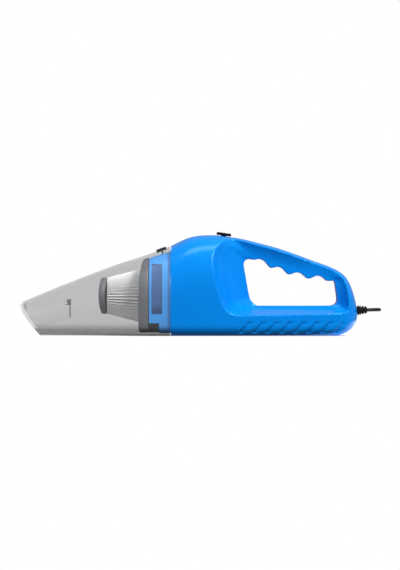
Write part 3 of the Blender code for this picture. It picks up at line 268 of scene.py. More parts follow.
def ring_edges(bm, points):
    """A closed ring of edges through the points, started from a circle."""
    made = bmesh.ops.create_circle(bm, cap_ends=False, radius=1.0, segments=len(points))
    for vertex, point in zip(made["verts"], points):
        vertex.co = point
    return list({edge for vertex in made["verts"] for edge in vertex.link_edges})


def skin(rings, closed=False, capped=True):
    """A surface bridged over rings of equal length, capped or closed on itself."""
    bm = bmesh.new()
    loops = [ring_edges(bm, ring) for ring in rings]
    pairs = zip(loops, loops[1:] + loops[:1]) if closed else zip(loops, loops[1:])
    for first, second in pairs:
        bmesh.ops.bridge_loops(bm, edges=first + second)
    if capped and not closed:
        bmesh.ops.contextual_create(bm, geom=loops[0])
        bmesh.ops.contextual_create(bm, geom=loops[-1])
    return bm


def value_at(points, x):
    """Smooth height through (x, value) points, level at each peak or flat stretch and past the ends."""
    if x <= points[0][0]:
        return points[0][1]
    if x >= points[-1][0]:
        return points[-1][1]
    last = len(points) - 1
    spot = max(k for k in range(last) if points[k][0] <= x)

    def slope(k):
        before, after = max(k - 1, 0), min(k + 1, last)
        turns = (points[k][1] - points[before][1]) * (points[after][1] - points[k][1]) <= 0
        if turns and 0 < k < last:
            return 0.0
        return (points[after][1] - points[before][1]) / (points[after][0] - points[before][0])

    (x0, v0), (x1, v1) = points[spot], points[spot + 1]
    run = x1 - x0
    t = (x - x0) / run
    bend = slope(spot) * run * t * (1 - t) ** 2 - slope(spot + 1) * run * t * t * (1 - t)
    return v0 + (v1 - v0) * t * t * (3 - 2 * t) + bend


def section(x, half, low, top, corner, inset=0.0, corner_steps=8, crown_steps=40):
    """One cross-section: flat foot, rounded lower corners, upright sides and a domed crown."""
    half, low, top = half - inset, low + inset, top - inset
    middle = low + (top - low) * WIDEST
    corner = max(min(corner - inset, half * 0.8, (middle - low) * 0.95), 0.4)
    right = []
    for k in range(corner_steps + 1):
        angle = math.pi / 2 * (k / corner_steps - 1)
        right.append((x, half - corner + corner * math.cos(angle), low + corner + corner * math.sin(angle)))
    crown = []
    for k in range(crown_steps + 1):
        angle = math.pi * k / crown_steps
        across = math.copysign(abs(math.cos(angle)) ** (2 / CROWN), math.cos(angle))
        crown.append((x, half * across, middle + (top - middle) * math.sin(angle) ** (2 / CROWN)))
    return right + crown + [(x, -y, z) for _, y, z in reversed(right)]


def steps(start, end, count):
    return [start + (end - start) * k / count for k in range(count + 1)]


def smooth_path(points, parts=12, closed=False):
    """Points of a Catmull-Rom curve through the given points."""
    knots = [Vector(p) for p in points]
    if closed:
        knots = [knots[-1]] + knots + knots[:2]
    else:
        knots = [2 * knots[0] - knots[1]] + knots + [2 * knots[-1] - knots[-2]]
    made = []
    for p0, p1, p2, p3 in zip(knots, knots[1:], knots[2:], knots[3:]):
        for step in range(parts):
            t = step / parts
            made.append(0.5 * (2 * p1 + (p2 - p0) * t + (2 * p0 - 5 * p1 + 4 * p2 - p3) * t * t
                               + (3 * p1 - p0 - 3 * p2 + p3) * t ** 3))
    return made if closed else made + [knots[-2]]


# ---------------------------------------------------------------- cord

def coil_points():
    """Turns laid side by side in flat layers, in and out by turns, the last leading off over the top."""
    points = []
    thick = 2 * CORD_R
    outer = COIL_MEAN_R + (COIL_ACROSS - 1) * CORD_R
    whole_turns = COIL_ACROSS * COIL_HIGH
    for k in range(whole_turns * TURN_POINTS):
        layer, within = divmod(k / TURN_POINTS, COIL_ACROSS)
        lane, part = divmod(within, 1.0)
        # a turn keeps its radius for most of its way, then steps to the next lane or layer
        ease = max(0.0, (part - 0.6) / 0.4)
        ease = ease * ease * (3 - 2 * ease)
        last = lane == COIL_ACROSS - 1
        lane += 0.0 if last else ease
        lane = COIL_ACROSS - 1 - lane if layer % 2 else lane
        rise = ease if last else 0.0
        radius = outer - lane * thick
        angle = math.radians(-90 - 360 * k / TURN_POINTS)
        x, y = COIL_CENTRE[0] + radius * math.cos(angle), COIL_CENTRE[1] + radius * math.sin(angle)
        points.append(Vector((x, y, CORD_R + 0.1 + (layer + rise) * thick)))
    return points


def make_cord():
    route = smooth_path([*CORD_LEAD, *coil_points(), *CORD_TAIL], 2)
    curve = bpy.data.curves.new("power_cord", "CURVE")
    curve.dimensions = "3D"
    curve.bevel_depth = CORD_R * MM
    curve.bevel_resolution = 4
    curve.use_fill_caps = True
    spline = curve.splines.new("POLY")
    spline.points.add(len(route) - 1)
    for place, point in zip(spline.points, route):
        place.co = (*(point * MM), 1.0)
    spline.use_smooth = True
    made = linked("power_cord", curve)
    finish(made, "cord_pvc", "main_body", "cord_lead", "cord_coil", "cord_tail")
    return made


# ---------------------------------------------------------------- materials

LOOKS = {}
DULL = 0.22                    # specular level of the blacks and of the smoky nozzle


def look(slot, name, **settings):
    """A material for a slot: its tree, its Principled shader and its Object coordinates in millimetres."""
    made = bpy.data.materials.new(name)
    made.use_nodes = True
    tree = made.node_tree
    surface = tree.nodes["Principled BSDF"]
    for key, value in settings.items():
        surface.inputs[key.replace("_", " ")].default_value = value
    place = add(tree, "ShaderNodeTexCoord").outputs["Object"]
    scaled = add(tree, "ShaderNodeVectorMath", {0: place}, operation="SCALE", Scale=1000.0)
    LOOKS[slot] = made
    return tree, surface, scaled.outputs[0]


def drift(tree, where, blotch, first, second):
    """A colour that drifts between two hex colours in blotches of so many millimetres."""
    clouds = add(tree, "ShaderNodeTexNoise", {"Vector": where}, Scale=1 / blotch, Detail=3.0, Roughness=0.55)
    tone = add(tree, "ShaderNodeMix", {"Factor": clouds.outputs["Fac"]},
               {6: linear(first), 7: linear(second)}, data_type="RGBA")
    return tone.outputs[2]


def uneven(tree, where, blotch, low, high, detail=3.0):
    """A gloss that wanders between two values in blotches of so many millimetres."""
    clouds = add(tree, "ShaderNodeTexNoise", {"Vector": where}, Scale=1 / blotch, Detail=detail,
                 Roughness=0.55)
    spread = add(tree, "ShaderNodeMapRange", {"Value": clouds.outputs["Fac"]},
                 From_Min=0.3, From_Max=0.7, To_Min=low, To_Max=high)
    return spread.outputs["Result"]


def grain(tree, surface, where, size, depth, detail=2.0):
    """A fine relief of so many millimetres' size and depth."""
    clouds = add(tree, "ShaderNodeTexNoise", {"Vector": where}, Scale=1 / size, Detail=detail, Roughness=0.55)
    relief = add(tree, "ShaderNodeBump", {"Height": clouds.outputs["Fac"]}, Distance=depth * MM, Strength=1.0)
    tree.links.new(relief.outputs["Normal"], surface.inputs["Normal"])


def moulded(slot, name, first, second, blotch, rough, patch, **settings):
    """Moulded plastic: a faint drift of colour and an uneven gloss."""
    tree, surface, where = look(slot, name, **settings)
    tree.links.new(drift(tree, where, blotch, first, second), surface.inputs["Base Color"])
    tree.links.new(uneven(tree, where, patch, *rough), surface.inputs["Roughness"])
    return tree, surface, where


def plastic(slot, name, first, second, rough, blotch, size, depth, **settings):
    """Opaque moulded plastic, which also shows a fine mould grain."""
    made = moulded(slot, name, first, second, blotch, rough, blotch * 0.4, Coat_Roughness=0.08, **settings)
    grain(*made, size, depth)


def metal(slot, name, first, second, rough, streak=(0.4, 0.4, 6.0)):
    """Bare or plated metal: fine drawn streaks along one way and a slight tarnish."""
    tree, surface, where = look(slot, name, Metallic=1.0)
    drawn = add(tree, "ShaderNodeVectorMath", {0: where}, {1: streak}, operation="DIVIDE").outputs[0]
    tree.links.new(drift(tree, where, 3.0, first, second), surface.inputs["Base Color"])
    tree.links.new(uneven(tree, drawn, 1.0, *rough, 4.0), surface.inputs["Roughness"])
    grain(tree, surface, drawn, 1.0, 0.004, 4.0)


def make_materials():
    # injection-moulded gloss ABS: saturated azure, with the faint swirl and orange-peel of the mould
    plastic("blue_shell", "gloss_blue_abs_moulded", "#037ad4", "#0480dc", (0.20, 0.27), 30.0, 2.2, 0.0035,
            Coat_Weight=0.12, Specular_IOR_Level=0.42, Specular_Tint=linear("#58b4ff"))
    # the collar lies under the nozzle's skin, and its blue is the shells' blue painted paler: painted light
    # that keeps it bright there
    plastic("collar_blue_painted_light", "blue_abs_painted_paler", "#35a3fb", "#40acff", (0.3, 0.4), 20.0, 1.5, 0.004)
    # satin and soft blacks, whose gloss barely shows
    plastic("black_plastic", "satin_black_abs_moulded", "#08080a", "#0d0e10", (0.34, 0.48), 9.0, 0.5, 0.010,
            Specular_IOR_Level=DULL)
    plastic("black_rubber", "soft_black_rubber_moulded", "#070708", "#0c0c0d", (0.55, 0.72), 5.0, 0.35, 0.012,
            Specular_IOR_Level=DULL)
    plastic("cord_pvc", "extruded_black_pvc_cord_jacket", "#090a0b", "#101112", (0.32, 0.46), 6.0, 0.7, 0.010,
            Specular_IOR_Level=DULL)
    plastic("grey_plastic", "matt_grey_pp_moulded", "#5f6164", "#696b6e", (0.38, 0.52), 10.0, 0.6, 0.008)
    plastic("white_plastic", "white_nylon_moulded", "#d9d8d2", "#e6e5e0", (0.30, 0.44), 9.0, 0.7, 0.006)
    plastic("red_pvc", "extruded_red_pvc_wire_jacket", "#b31713", "#c9211b", (0.30, 0.42), 5.0, 0.6, 0.006)
    plastic("amber_ceramic", "dipped_amber_ceramic_disc", "#b26415", "#c77a22", (0.24, 0.38), 2.0, 0.5, 0.010,
            Coat_Weight=0.4)
    metal("plated_steel", "zinc_plated_steel_turned", "#b9bcc0", "#d2d4d8", (0.20, 0.36))
    metal("bronze", "sintered_bronze_pressed", "#8f6433", "#a87a45", (0.36, 0.52), (0.6, 0.6, 0.6))
    metal("brass", "brass_stamped", "#b98c3c", "#cfa452", (0.24, 0.38))
    metal("copper_winding", "enamelled_copper_wound", "#9a4a22", "#b8602f", (0.22, 0.36), (6.0, 0.35, 0.35))
    # the duct is moulded in the nozzle's plastic without the tint, so it shows lighter through the skin
    moulded("clear_duct", "clear_ps_moulded", "#d6d8da", "#e2e3e4", 18.0, (0.14, 0.22), 5.0,
            Alpha=0.04, IOR=1.55)
    # the collar's panes: blue-grey frosted plastic that hides the motor's chamber
    moulded("blue_pane", "frosted_blue_grey_pane", "#33609b", "#3a69a5", 12.0, (0.35, 0.5), 2.0)
    make_smoky()
    make_cloth()
    # drawn glass of the fuse tube, with a faint green edge
    tree, surface, where = look("glass_tube", "drawn_soda_glass_tube", Roughness=0.04,
                                Transmission_Weight=0.9)
    tree.links.new(drift(tree, where, 4.0, "#dfeae6", "#eef4f2"), surface.inputs["Base Color"])


def make_smoky():
    """Clear polystyrene with a smoke tint, and painted shade that makes it darker and more opaque towards the
    foot.
    """
    tree, surface, where = look("smoky_clear", "smoky_clear_ps_moulded", IOR=1.55, Specular_IOR_Level=DULL)
    height = add(tree, "ShaderNodeSeparateXYZ", {0: where}).outputs["Z"]
    # painted shade: below 15 mm the colour darkens towards the foot
    foot = add(tree, "ShaderNodeMapRange", {"Value": height}, interpolation_type="SMOOTHSTEP",
               From_Min=1.0, From_Max=15.0, To_Min=1.0, To_Max=0.0).outputs[0]
    haze = drift(tree, where, 26.0, "#4e5153", "#595c5f")
    shade = add(tree, "ShaderNodeMix", {"Factor": foot, 6: haze}, {7: linear("#26282a")}, data_type="RGBA")
    # painted shade: the alpha rises from 0.33 to 0.62 towards the foot
    thick = add(tree, "ShaderNodeMapRange", {"Value": foot}, To_Min=0.33, To_Max=0.62)
    tree.links.new(shade.outputs[2], surface.inputs["Base Color"])
    tree.links.new(uneven(tree, where, 5.0, 0.12, 0.20), surface.inputs["Roughness"])
    tree.links.new(thick.outputs[0], surface.inputs["Alpha"])


def make_cloth():
    """Pleated non-woven filter cloth: off-white matted fibres, with shade gathered down in the folds."""
    tree, surface, where = look("filter_cloth", "non_woven_filter_cloth", Roughness=0.92, Sheen_Weight=0.25)
    parts = add(tree, "ShaderNodeSeparateXYZ", {0: where})
    height = add(tree, "ShaderNodeMath", {0: parts.outputs["Z"]}, {1: AXIS_Z}, operation="SUBTRACT")
    across = add(tree, "ShaderNodeCombineXYZ", {0: parts.outputs["Y"], 1: height.outputs[0]})
    reach = add(tree, "ShaderNodeVectorMath", {0: across.outputs[0]}, operation="LENGTH").outputs["Value"]
    cone = add(tree, "ShaderNodeMapRange", {"Value": parts.outputs["X"]}, From_Min=PLEAT_X[0],
               From_Max=PLEAT_X[1], To_Min=PLEAT_R[0], To_Max=PLEAT_R[1])
    depth = add(tree, "ShaderNodeMath", {0: cone.outputs[0], 1: reach}, operation="SUBTRACT")
    # painted shade: white on the ridges, grey down in each fold's valley
    fold = add(tree, "ShaderNodeMapRange", {"Value": depth.outputs[0]}, From_Max=PLEAT_DEPTH)
    shade = add(tree, "ShaderNodeMix", {"Factor": fold.outputs[0]},
                {6: linear("#ffffff"), 7: linear("#dcdddd")}, data_type="RGBA")
    tree.links.new(shade.outputs[2], surface.inputs["Base Color"])
    fibre = add(tree, "ShaderNodeTexVoronoi", {"Vector": where}, feature="DISTANCE_TO_EDGE", Scale=1.6)
    matted = add(tree, "ShaderNodeBump", {"Height": fibre.outputs["Distance"]},
                 Distance=0.05 * MM, Strength=0.6)
    tree.links.new(matted.outputs["Normal"], surface.inputs["Normal"])


def finish(piece, slot, body, *replaced, dressed=None):
    """Give a piece the material of its slot, or of its dressing when one is given, attach it to its body and
    hide the CAD nodes it stands for.
    """
    piece.data.materials.clear()
    piece.data.materials.append(LOOKS[dressed or slot])
    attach(piece, body)
    if replaced:
        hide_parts(*replaced)
    return piece


# ---------------------------------------------------------------- shape tools

def applied(target):
    """The object with its modifiers made part of its mesh."""
    bpy.context.view_layer.update()
    graph = bpy.context.evaluated_depsgraph_get()
    mesh = bpy.data.meshes.new_from_object(target.evaluated_get(graph))
    target.modifiers.clear()
    old = target.data
    target.data = mesh
    bpy.data.meshes.remove(old)
    return target


def combine(target, tool, operation="DIFFERENCE", solver="EXACT"):
    """Cut with, unite with or keep what lies within a tool, which is then removed."""
    cut = target.modifiers.new("cut", "BOOLEAN")
    cut.operation = operation
    cut.solver = solver
    cut.object = tool
    applied(target)
    bpy.data.objects.remove(tool)
    return target


def carve(target, tools, solver="EXACT"):
    """Cut with each tool in turn."""
    for tool in tools:
        combine(target, tool, solver=solver)


def shaded(piece, angle):
    """Smooth faces, with a sharp edge where they meet past so many degrees."""
    piece.data.shade_smooth()
    piece.data.set_sharp_from_angle(angle=math.radians(angle))


def turned(name, profile, origin=(0, 0, 0), along=(1, 0, 0), facets=96, ring=False, smooth=35.0):
    """A turned piece from (distance along the axis, radius) points; ring closes it round a bore."""
    placed = Matrix.Translation(origin) @ Vector(along).to_track_quat("Z", "Y").to_matrix().to_4x4()
    rings = []
    for distance, radius in profile:
        angles = [2 * math.pi * k / facets for k in range(facets)]
        rings.append([placed @ Vector((radius * math.cos(a), radius * math.sin(a), distance))
                      for a in angles])
    return mesh_object(name, skin(rings, closed=ring), smooth=smooth)


def block(name, low, high, frame=None, bevel=0.0, segments=3):
    """A box with rounded edges between two corners, in a local frame when one is given."""
    bm = bmesh.new()
    bmesh.ops.create_cube(bm, size=1.0)
    bmesh.ops.scale(bm, vec=[b - a for a, b in zip(low, high)], verts=bm.verts)
    bmesh.ops.translate(bm, vec=[(a + b) / 2 for a, b in zip(low, high)], verts=bm.verts)
    if bevel:
        bmesh.ops.bevel(bm, geom=bm.edges[:], offset=bevel, segments=segments, profile=0.5,
                        affect="EDGES", material=-1)
    if frame is not None:
        bmesh.ops.transform(bm, matrix=frame, verts=bm.verts)
    return mesh_object(name, bm)


def prism(name, outline, low_y, high_y):
    return mesh_object(name, skin([[(x, y, z) for x, z in outline] for y in (low_y, high_y)]))


def joined(name, pieces):
    """Several objects made one."""
    bm = bmesh.new()
    for piece in pieces:
        bm.from_mesh(piece.data)
        bpy.data.objects.remove(piece)
    mesh = bpy.data.meshes.new(name)
    bm.to_mesh(mesh)
    bm.free()
    return linked(name, mesh)


def rounded(target, width, segments, angle):
    """Round the sharp edges of a finished cut."""
    modifier = target.modifiers.new("rounded", "BEVEL")
    modifier.width = width * MM
    modifier.segments = segments
    modifier.limit_method = "ANGLE"
    modifier.angle_limit = math.radians(angle)
    modifier.harden_normals = True
    return applied(target)


# ---------------------------------------------------------------- body shells

def body_sizes(x):
    """Half width, underside and top of the undished body at one station."""
    return [value_at(points, x) for points in (BODY_HALF, BODY_LOW, BODY_TOP)]


def body_half_at(x, z):
    """Half width of the undished body at one point of its side."""
    half, low, top = body_sizes(x)
    middle = low + (top - low) * WIDEST
    if z <= middle:
        return half
    share = min((z - middle) / (top - middle), 1.0)
    return half * (1 - share ** CROWN) ** (1 / CROWN)


def body_section(x, inset=0.0):
    return section(x, *body_sizes(x), BODY_CORNER, inset)


def ray_hit(outline, angle):
    """How far a ray from the dish's centre goes before it leaves a closed outline."""
    cx, cz = DISH_CENTRE
    dx, dz = math.cos(angle), math.sin(angle)
    best = 0.0
    for (x0, z0), (x1, z1) in zip(outline, outline[1:] + outline[:1]):
        ex, ez = x1 - x0, z1 - z0
        across = dx * ez - dz * ex
        if abs(across) < 1e-9:
            continue
        far = ((x0 - cx) * ez - (z0 - cz) * ex) / across
        along = ((x0 - cx) * dz - (z0 - cz) * dx) / across
        if far > best and -1e-9 <= along <= 1 + 1e-9:
            best = far
    return best


def flat_outline(points, parts):
    return [(p.x, p.y) for p in smooth_path([(x, z, 0) for x, z in points], parts, closed=True)]


def dish_tool(side):
    """The hollow pressed in one side, from its rim down to the land round the handle's opening."""
    rings = [[], [], [], [], [], []]
    outline = flat_outline(DISH_RIM, 6)
    for k in range(180):
        angle = 2 * math.pi * k / 180
        ux, uz = math.cos(angle), math.sin(angle)
        rim = ray_hit(outline, angle)
        land = min(ray_hit(OPENING_PLAIN, angle) + OPENING_LAND, rim - 1.0)
        x, z = DISH_CENTRE[0] + rim * ux, DISH_CENTRE[1] + rim * uz
        edge = max(body_half_at(x, z), DISH_HALF + 0.5)
        profile = [(land + (rim - land) * reach, DISH_HALF + (edge - DISH_HALF) * rise)
                   for reach, rise in ((0.0, 0.0), (0.3, 0.17), (0.58, 0.42), (0.84, 0.74), (1.0, 1.0))]
        for ring, (reach, y) in zip(rings, profile + [(rim, 75.0)]):
            ring.append((DISH_CENTRE[0] + reach * ux, side * y, DISH_CENTRE[1] + reach * uz))
    return mesh_object("dish_tool", skin(rings))


def pocket_depth(x, z):
    """How deep the slanted pockets of the base are pressed at one point of the side."""
    rise = (z - POCKET_LOW) / (POCKET_HIGH - POCKET_LOW)
    if not 0.0 < rise < 1.0:
        return 0.0
    along = (x - POCKET_FIRST - POCKET_LEAN * rise) / POCKET_PITCH
    number = math.floor(along)
    share = (along - number) * POCKET_PITCH / POCKET_LENGTH
    if not 0 <= number < POCKETS or share >= 1.0:
        return 0.0
    # deepest at the left and foot, running out flush at the right
    left = share * POCKET_LENGTH
    end = min(rise, 1 - rise) * (POCKET_HIGH - POCKET_LOW)
    edge = min(left / 1.0, end / 1.2, 1.0)
    return POCKET_DEPTH * edge * edge * (3 - 2 * edge) * (1 - share) * (1.2 - 0.5 * rise)


def make_body():
    """The whole body with its dishes and opening, as one soft-edged skin."""
    places = steps(BODY_FRONT, BODY_REAR - 40, 60)[:-1]
    places += [BODY_REAR - 40 * (1 - math.sin(math.pi / 2 * k / 30)) for k in range(31)]
    body = mesh_object("body", skin([body_section(x) for x in places]))
    opening = prism("opening_tool", flat_outline(OPENING, 6), -80.0, 80.0)
    carve(body, [dish_tool(-1), dish_tool(1), opening])
    remesh = body.modifiers.new("skin", "REMESH")
    remesh.mode = "VOXEL"
    remesh.voxel_size = 0.85 * MM
    applied(body)
    smooth = body.modifiers.new("soft_edges", "SMOOTH")
    smooth.factor = 0.5
    smooth.iterations = 4
    return applied(body)


def make_shells():
    body = make_body()
    for side, word in ((-1, "left"), (1, "right")):
        bm = bmesh.new()
        bm.from_mesh(body.data)
        bm.normal_update()
        for vertex in bm.verts:
            depth = pocket_depth(vertex.co.x / MM, vertex.co.z / MM)
            if depth and abs(vertex.co.y) > 0.02:
                vertex.co.y -= math.copysign(depth * MM, vertex.co.y)
        bmesh.ops.bisect_plane(bm, geom=bm.verts[:] + bm.edges[:] + bm.faces[:], dist=1e-7,
                               plane_co=(0, side * SPLIT * MM, 0), plane_no=(0, side, 0), clear_inner=True)
        bmesh.ops.bisect_plane(bm, geom=bm.verts[:] + bm.edges[:] + bm.faces[:], dist=1e-7,
                               plane_co=((BODY_FRONT + 0.9) * MM, 0, 0), plane_no=(-1, 0, 0),
                               clear_outer=True)
        shell = mesh_object(word + "_shell", bm, scale=1.0, smooth=None, recalc=False)
        wall = shell.modifiers.new("wall", "SOLIDIFY")
        wall.thickness = WALL * MM
        wall.offset = -1.0
        wall.use_rim = True
        applied(shell)
        cut_shell(shell, side)
        shaded(shell, 38)
        finish(shell, "blue_shell", "main_body", word + "_housing")
    bpy.data.objects.remove(body)


def top_frame(x, points):
    """A frame on a top outline at y = 0: local X along the slope, local Z out of the surface."""
    slope = math.atan2(value_at(points, x + 2) - value_at(points, x - 2), 4.0)
    return Matrix.Translation((x, 0, value_at(points, x))) @ Matrix.Rotation(-slope, 4, "Y")


def cut_shell(shell, side):
    """Exhaust slots, the switch's slot, the cord's exit and, on the right, the screw bores."""
    tools = []
    low, high = sorted((side * SLOT_NEAR, side * SLOT_FAR))
    for number in range(SLOTS):
        x = SLOT_FIRST + SLOT_PITCH * number
        tools.append(block("slot", (x, low, -4), (x + SLOT_WIDTH, high, 5), bevel=1.2))
    tools.append(block("switch_slot", (-8.1, -2.3, -8), (3.6, 2.3, 8), frame=top_frame(SWITCH_X, BODY_TOP)))
    tools.append(turned("cord_exit", [(170, 4.3), (BODY_REAR + 6, 4.3)],
                        origin=(0, 0, RELIEF_PLACE[2]), facets=48))
    if side > 0:
        bore = [(SCREW_BORE_FROM, SCREW_BORE_R), (80, SCREW_BORE_R)]
        tools += [turned("screw_bore", bore, origin=(x, 0, z), along=(0, 1, 0), facets=32) for x, z in SCREWS]
    carve(shell, tools, "MANIFOLD")


# ---------------------------------------------------------------- nozzle, duct and flap

def nozzle_section(x, inset=0.0):
    return section(x, value_at(NOZZLE_HALF, x), 0.0, value_at(NOZZLE_TOP, x), NOZZLE_CORNER, inset)


def mouth_x(z):
    """Where the slanted, slightly rounded mouth stands at one height."""
    for (x0, z0), (x1, z1) in zip(MOUTH, MOUTH[1:]):
        if z1 <= z <= z0:
            return x0 + (x1 - x0) * (z0 - z) / (z0 - z1)
    return MOUTH[0][0] if z > MOUTH[0][1] else MOUTH[-1][0]


def nozzle_ring(share, inset, start, end):
    """A ring of the nozzle's skin: 0 lies along the slanted mouth, 1 stands upright at the rear."""
    stations = [nozzle_section(x, inset) for x in steps(NOZZLE_FRONT, end, 90)]
    ring = []
    for strand in zip(*stations):
        front = next(k for k, (x, _, z) in enumerate(strand) if x >= mouth_x(z) + start)
        before, after = Vector(strand[front - 1]), Vector(strand[front])
        lag = [mouth_x(p.z) + start - p.x for p in (before, after)]
        edge = before.lerp(after, lag[0] / (lag[0] - lag[1]))
        x = edge.x + (end - edge.x) * share
        place = min(max((x - NOZZLE_FRONT) / (end - NOZZLE_FRONT) * 90, 0), 89.999)
        low = int(place)
        ring.append(Vector(strand[low]).lerp(Vector(strand[low + 1]), place - low))
    return ring


def duct_point(x, angle, inset):
    """A point of the duct's rounded oblong, in one direction from the duct's middle."""
    half, low, top = (value_at(points, x) for points in (DUCT_HALF, DUCT_LOW, DUCT_TOP))
    half, low, top = half - inset, low + inset, top - inset
    corner = max(DUCT_CORNER - inset, 0.8)
    tall = (top - low) / 2
    ux, uz = math.cos(angle), math.sin(angle)
    reach = min(half / max(abs(ux), 1e-6), tall / max(abs(uz), 1e-6))
    y, z = abs(ux) * reach, abs(uz) * reach
    dy, dz = y - (half - corner), z - (tall - corner)
    if dy > 0 and dz > 0:
        # walk back along the ray onto the corner's arc
        cy, cz = half - corner, tall - corner
        middle = abs(ux) * cy + abs(uz) * cz
        reach = middle + math.sqrt(max(middle * middle - cy * cy - cz * cz + corner * corner, 0))
    return Vector((x, ux * reach, low + tall + uz * reach))


def duct_edge(angle, inset, shift):
    """Where the duct's outline meets the slanted mouth, moved back by the shift, in one direction."""
    point = duct_point(MOUTH_NEAR, angle, inset)
    for _ in range(4):
        point = duct_point(mouth_x(point.z) + shift, angle, inset)
    return point


def make_nozzle():
    """A see-through moulding: outer skin, slanted mouth plate with the duct's hole, and inner skin."""
    outer = [nozzle_ring(share, 0.0, 0.0, NOZZLE_REAR) for share in steps(0, 1, 40)]
    inner = [nozzle_ring(share, NOZZLE_WALL, MOUTH_PLATE, NOZZLE_REAR) for share in steps(0, 1, 40)]

    def hole(shift):
        return [duct_edge(math.atan2(p.z - MOUTH_MIDDLE, p.y), -DUCT_GAP, shift) for p in outer[0]]

    lip = [Vector(p).lerp(Vector(q), 0.12) for p, q in zip(outer[0], hole(0.0))]
    rings = list(reversed(outer)) + [lip, hole(0.0), hole(MOUTH_PLATE)] + inner
    made = mesh_object("smoky_nozzle", skin(rings, closed=True), smooth=30)
    notch = block("notch", (-6.25, -8.6, -6), (40, 8.6, 12), frame=top_frame(LATCH_X, NOZZLE_TOP))
    combine(made, notch)
    shaded(made, 28)
    rounded(made, 0.35, 2, 50)
    # the clear shell lets the softboxes through onto the filter
    made.visible_shadow = False
    finish(made, "smoky_clear", "nozzle_unit", "nozzle")
    # the tint sits in the outer skin, so that the shell's edges don't look paler than its middle
    made.data.materials.append(LOOKS["clear_duct"])
    for face in made.data.polygons:
        away = face.center - Vector((face.center.x, 0, value_at(NOZZLE_TOP, face.center.x / MM) * MM / 2))
        face.material_index = int(face.normal.dot(away) < 0)


def make_duct():
    """The inlet duct, a tapering oblong tube with two hinge lugs, and the flap that hangs in it on a pin."""
    angles = [2 * math.pi * k / 96 - math.pi / 2 for k in range(96)]

    def rings(inset):
        front = [duct_edge(angle, inset, 0.4) for angle in angles]
        rear = [duct_point(DUCT_REAR, angle, inset) for angle in angles]
        return [[a.lerp(b, share) for a, b in zip(front, rear)] for share in steps(0.0, 1.0, 14)]

    walls = rings(0.0) + list(reversed(rings(DUCT_WALL)))
    pieces = [mesh_object("duct", skin(walls, closed=True), smooth=30)]
    x, z = FLAP_PIN
    for side in (-1, 1):
        low, high = sorted((side * 20.5, side * 23.0))
        pieces.append(block("lug", (DUCT_REAR - 7, low, 33.2), (x + 2.6, high, z + 2.4), bevel=0.9))
    finish(joined("clear_duct", pieces), "smoky_clear", "nozzle_unit", "inlet_duct", dressed="clear_duct")
    about = {"origin": (x, 0, z), "along": (0, 1, 0), "facets": 32}
    pin = turned("hinge_pin", [(-24.0, 0.7), (-23.7, 1.0), (23.7, 1.0), (24.0, 0.7)], **about)
    finish(pin, "plated_steel", "nozzle_unit", "flap_pin")
    leaf = block("leaf", (x - 0.6, -19.8, 17.6), (x + 0.8, 19.8, z - 1.2), bevel=0.35)
    ribs = [block("rib", (x + 0.5, y - 0.5, 19.6), (x + 1.3, y + 0.5, z - 3), bevel=0.3)
            for y in (-13.0, -4.4, 4.4, 13.0)]
    barrel = [(-19.8, 1.3), (-19.8, 1.9), (-19.5, 2.2), (19.5, 2.2), (19.8, 1.9), (19.8, 1.3)]
    knuckle = turned("knuckle", barrel, ring=True, **about)
    flap = joined("soft_flap", [leaf, knuckle, *ribs])
    finish(flap, "black_rubber", "flap", "inlet_flap", dressed="clear_duct")


# ---------------------------------------------------------------- filter

def bowed(piece, reach, amount):
    """Bow a plate forwards towards its two sides."""
    for vertex in piece.data.vertices:
        vertex.co.x -= amount * MM * min(vertex.co.y / (reach * MM), 1.0) ** 2
    return piece


def round_ring(x, radius, model):
    """A circle about the motor's axis, with a point in the direction of each point of a model ring."""
    ring = []
    for _, y, z in model:
        angle = math.atan2(z - AXIS_Z, y)
        ring.append(Vector((x, radius * math.cos(angle), AXIS_Z + radius * math.sin(angle))))
    return ring


def pleat_ring(x, radius, depth, count=6):
    """Folds round the cone, each with rounded ridges and valleys."""
    ring = []
    for k in range(PLEATS * count):
        wave = math.cos(2 * math.pi * k / count)
        fold = math.copysign(abs(wave) ** 0.7, wave)
        # no two folds are pressed quite alike
        stray = 0.35 * noise.noise(Vector((k // count * 1.7, x * 0.05, 3.0)))
        r = radius - depth * (0.5 - 0.5 * fold) + stray * 0.5
        angle = 2 * math.pi * (k + stray * 1.5) / (PLEATS * count)
        ring.append(Vector((x, r * math.cos(angle), AXIS_Z + r * math.sin(angle))))
    return ring


def make_filter():
    front, rear = PLEAT_X
    outer = [pleat_ring(front + (rear - front) * s, PLEAT_R[0] + (PLEAT_R[1] - PLEAT_R[0]) * s - 0.2,
                        PLEAT_DEPTH) for s in steps(0, 1, 10)]
    inner = [[p + (Vector((p.x, 0, AXIS_Z)) - p).normalized() * 1.0 for p in ring] for ring in outer]
    cloth = mesh_object("filter_cloth", skin(outer + list(reversed(inner)), closed=True), smooth=60)
    finish(cloth, "filter_cloth", "filter_unit", "filter_pleats")
    dome = [(0.4, 0.5), (0.4, 6.0), (0.9, 9.0), (1.3, 10.0), (1.6, 14.0), (2.4, 17.6), (3.3, 19.4),
            (4.4, CAP_R), (8.4, CAP_R), (9.2, 19.4), (9.3, 18.0), (9.3, 0.5)]
    cap = turned("filter_cap_moulded", dome, origin=(CAP_FRONT, 0, AXIS_Z), facets=128, smooth=40)
    finish(bowed(cap, CAP_R, CAP_BOW), "grey_plastic", "filter_unit", "filter_cap")
    make_flange()
    tube = [(front + 0.3, 12.6), (front + 0.3, 13.6), (front + 0.8, 14.0), (rear - 0.8, 14.0),
            (rear - 0.3, 13.6), (rear - 0.3, 12.6)]
    core = turned("filter_core_moulded", tube, origin=(0, 0, AXIS_Z), ring=True)
    slots = []
    for number in range(4):
        turn = Matrix.Translation((0, 0, AXIS_Z)) @ Matrix.Rotation(math.pi / 4 * number, 4, "X")
        slots.append(block("slot", (front + 4.3, -30, -3), (rear - 4.3, 30, 3), frame=turn))
    carve(core, slots)
    shaded(core, 35)
    finish(core, "white_plastic", "filter_unit", "filter_core")


